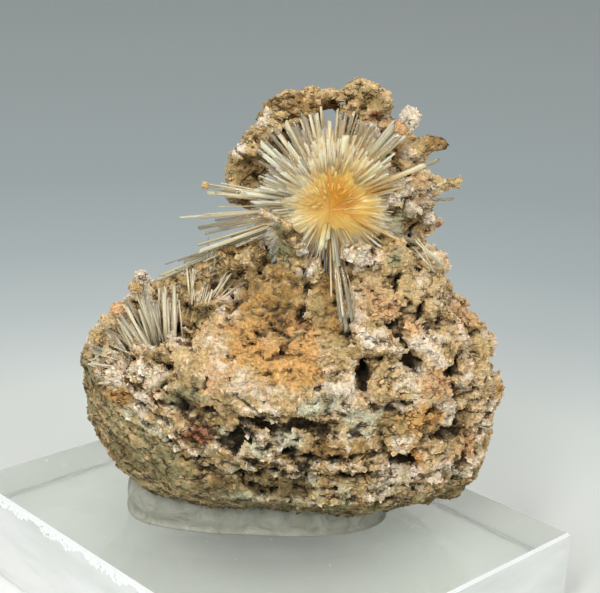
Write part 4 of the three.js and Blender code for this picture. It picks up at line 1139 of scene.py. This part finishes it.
tints = np.repeat([linear(*tint)[:3] for _, _, tint in TIPS], GRAINS_ON_TIP, 0)
tints = np.minimum(tints * chance.uniform(0.7, 1.2, (len(seats), 1)), 1)
new_piece("tip_grains", points, grain_faces, grain, smooth=False,
          colours=np.repeat(tints, len(LUMP_CORNERS), 0))

# The studio: a plain pale floor, its colour painted darker into the distance as shade where the light falls
# off, that runs up into a round grey cove, and a soft sky that is brightest high on the viewer's left. The
# object stands on the floor.
FLOOR_PROFILE = [(0.0001, 0.0), (0.05, 0.0), (0.15, 0.0), (0.4, 0.0), (0.8, 0.0), (1.1, 0.0), (1.2, 0.03),
                 (1.26, 0.1), (1.28, 0.4)]
FLOOR_COLUMNS = 96
FLOOR_GAP = 0.00008
# Reach from the middle in metres, and the floor's colour there, painted darker farther out as the light's
# falloff
FLOOR_PAINTED_FALLOFF = [
    (0.0, (252, 253, 251)), (0.028, (252, 253, 251)), (0.045, (224, 227, 222)), (0.08, (214, 219, 215)),
    (0.1, (200, 207, 206)), (0.125, (187, 195, 196)), (0.175, (172, 182, 184)), (0.25, (164, 174, 176)),
    (0.45, (162, 171, 173)), (0.95, (162, 170, 170)),
]
SKY_BASE, SKY_GLOW = 0.57, 0.58
turns = np.linspace(0, 2 * math.pi, FLOOR_COLUMNS, endpoint=False)
rows = np.array([(reach, height - FLOOR_GAP) for reach, height in FLOOR_PROFILE])
floor_points = np.stack([rows[:, :1] * np.cos(turns), rows[:, :1] * np.sin(turns),
                         np.repeat(rows[:, 1:], FLOOR_COLUMNS, 1)], -1).reshape(-1, 3)
floor_faces = grid_faces(len(rows), FLOOR_COLUMNS).tolist() + [list(range(FLOOR_COLUMNS))]
mesh = bpy.data.meshes.new("floor")
mesh.from_pydata(floor_points.tolist(), [], floor_faces)
mesh.shade_smooth()
floor = placed("floor", mesh)
ground, tree, shader = new_material("pale_ground", 0.9, Emission_Strength=1.0)
place = own_place(tree)
reach = node(tree, "ShaderNodeVectorMath", {0: place}, operation="LENGTH").outputs["Value"]
tree.links.new(ramped(tree, reach, FLOOR_PAINTED_FALLOFF), shader.inputs["Base Color"])
# No lamp's light passes through the block, so the paper under it shines faintly in place of that light, most
# at the corners, which the rock shades least
folded = vector_math(tree, "ABSOLUTE", place)
beyond = vector_math(tree, "SUBTRACT", folded, (block_high.x, block_high.y, 0))
sides = node(tree, "ShaderNodeSeparateXYZ", {0: beyond}).outputs
edge = number_math(tree, "MAXIMUM", sides["X"], sides["Y"])
under = ranged(tree, edge, -0.001, -0.0003, 1.0, 0.0)
shaded = ranged(tree, reach, 0.008, 0.028, 0.03, 0.29)
tree.links.new(number_math(tree, "MULTIPLY", under, shaded), shader.inputs["Emission Color"])
mesh.materials.append(ground)
sky = bpy.data.worlds.new("studio")
sky.use_nodes = True
tree = sky.node_tree
brightest = tuple(turned(np.array([[-0.05, -0.55, 0.83]]))[0])
way = node(tree, "ShaderNodeTexCoord").outputs["Generated"]
match = node(tree, "ShaderNodeVectorMath", {0: way, 1: brightest}, operation="DOT_PRODUCT").outputs["Value"]
glow = ranged(tree, match, 0.5, 0.95, SKY_BASE, SKY_BASE + SKY_GLOW, interpolation_type="SMOOTHSTEP")
background = tree.nodes["Background"]
background.inputs[0].default_value = linear(252, 252, 250)
tree.links.new(glow, background.inputs[1])
bpy.context.scene.world = sky


def lamp(name, place, aim, wide, tall, power):
    """An upright area lamp at a place in the specimen's millimetres, aimed at another; its sizes are in
    metres and its power in watts."""
    light = bpy.data.lights.new(name, "AREA")
    light.shape = "RECTANGLE"
    light.size = wide
    light.size_y = tall
    light.energy = power
    start, end = to_object(np.array([place, aim], float))
    made = placed(name, light)
    made.location = start
    made.rotation_euler = Vector(end - start).to_track_quat("-Z", "Y").to_euler()


lamp("window", (-110, -300, 260), (0, 0, 20), 0.05, 0.2, 0.62)
lamp("left_strip", (-260, -60, 200), (0, 0, 30), 0.012, 0.3, 0.1)
lamp("right_strip", (240, -190, 190), (0, 0, 30), 0.02, 0.3, 0.28)
bpy.context.scene.view_settings.view_transform = "Standard"

# The camera: where the block's edges place it, looking down a little, and rolled by some degrees. Its place
# is in the specimen's millimetres.
CAMERA_PLACE = (3.59, -155.92, 76.81)
PITCH, ROLL = math.radians(17.212), math.radians(2.405)
LENS_PIXELS, IMAGE_WIDTH = 1318.8, 600
ahead = np.array([0, math.cos(PITCH), -math.sin(PITCH)])
level = np.array([1, 0, 0])
tall = np.array([0, math.sin(PITCH), math.cos(PITCH)])
right = math.cos(ROLL) * level + math.sin(ROLL) * tall
upward = -math.sin(ROLL) * level + math.cos(ROLL) * tall
axes = turned(np.array([right, upward, -ahead]))
camera = placed("camera", bpy.data.cameras.new("camera"))
camera.data.sensor_width = 36
camera.data.lens = LENS_PIXELS / IMAGE_WIDTH * camera.data.sensor_width
camera.data.clip_start = 0.01
camera.data.clip_end = 5
seat = to_object(np.array([CAMERA_PLACE]))[0]
camera.matrix_world = Matrix.Translation(seat) @ Matrix(axes.T.tolist()).to_4x4()
bpy.context.scene.camera = camera
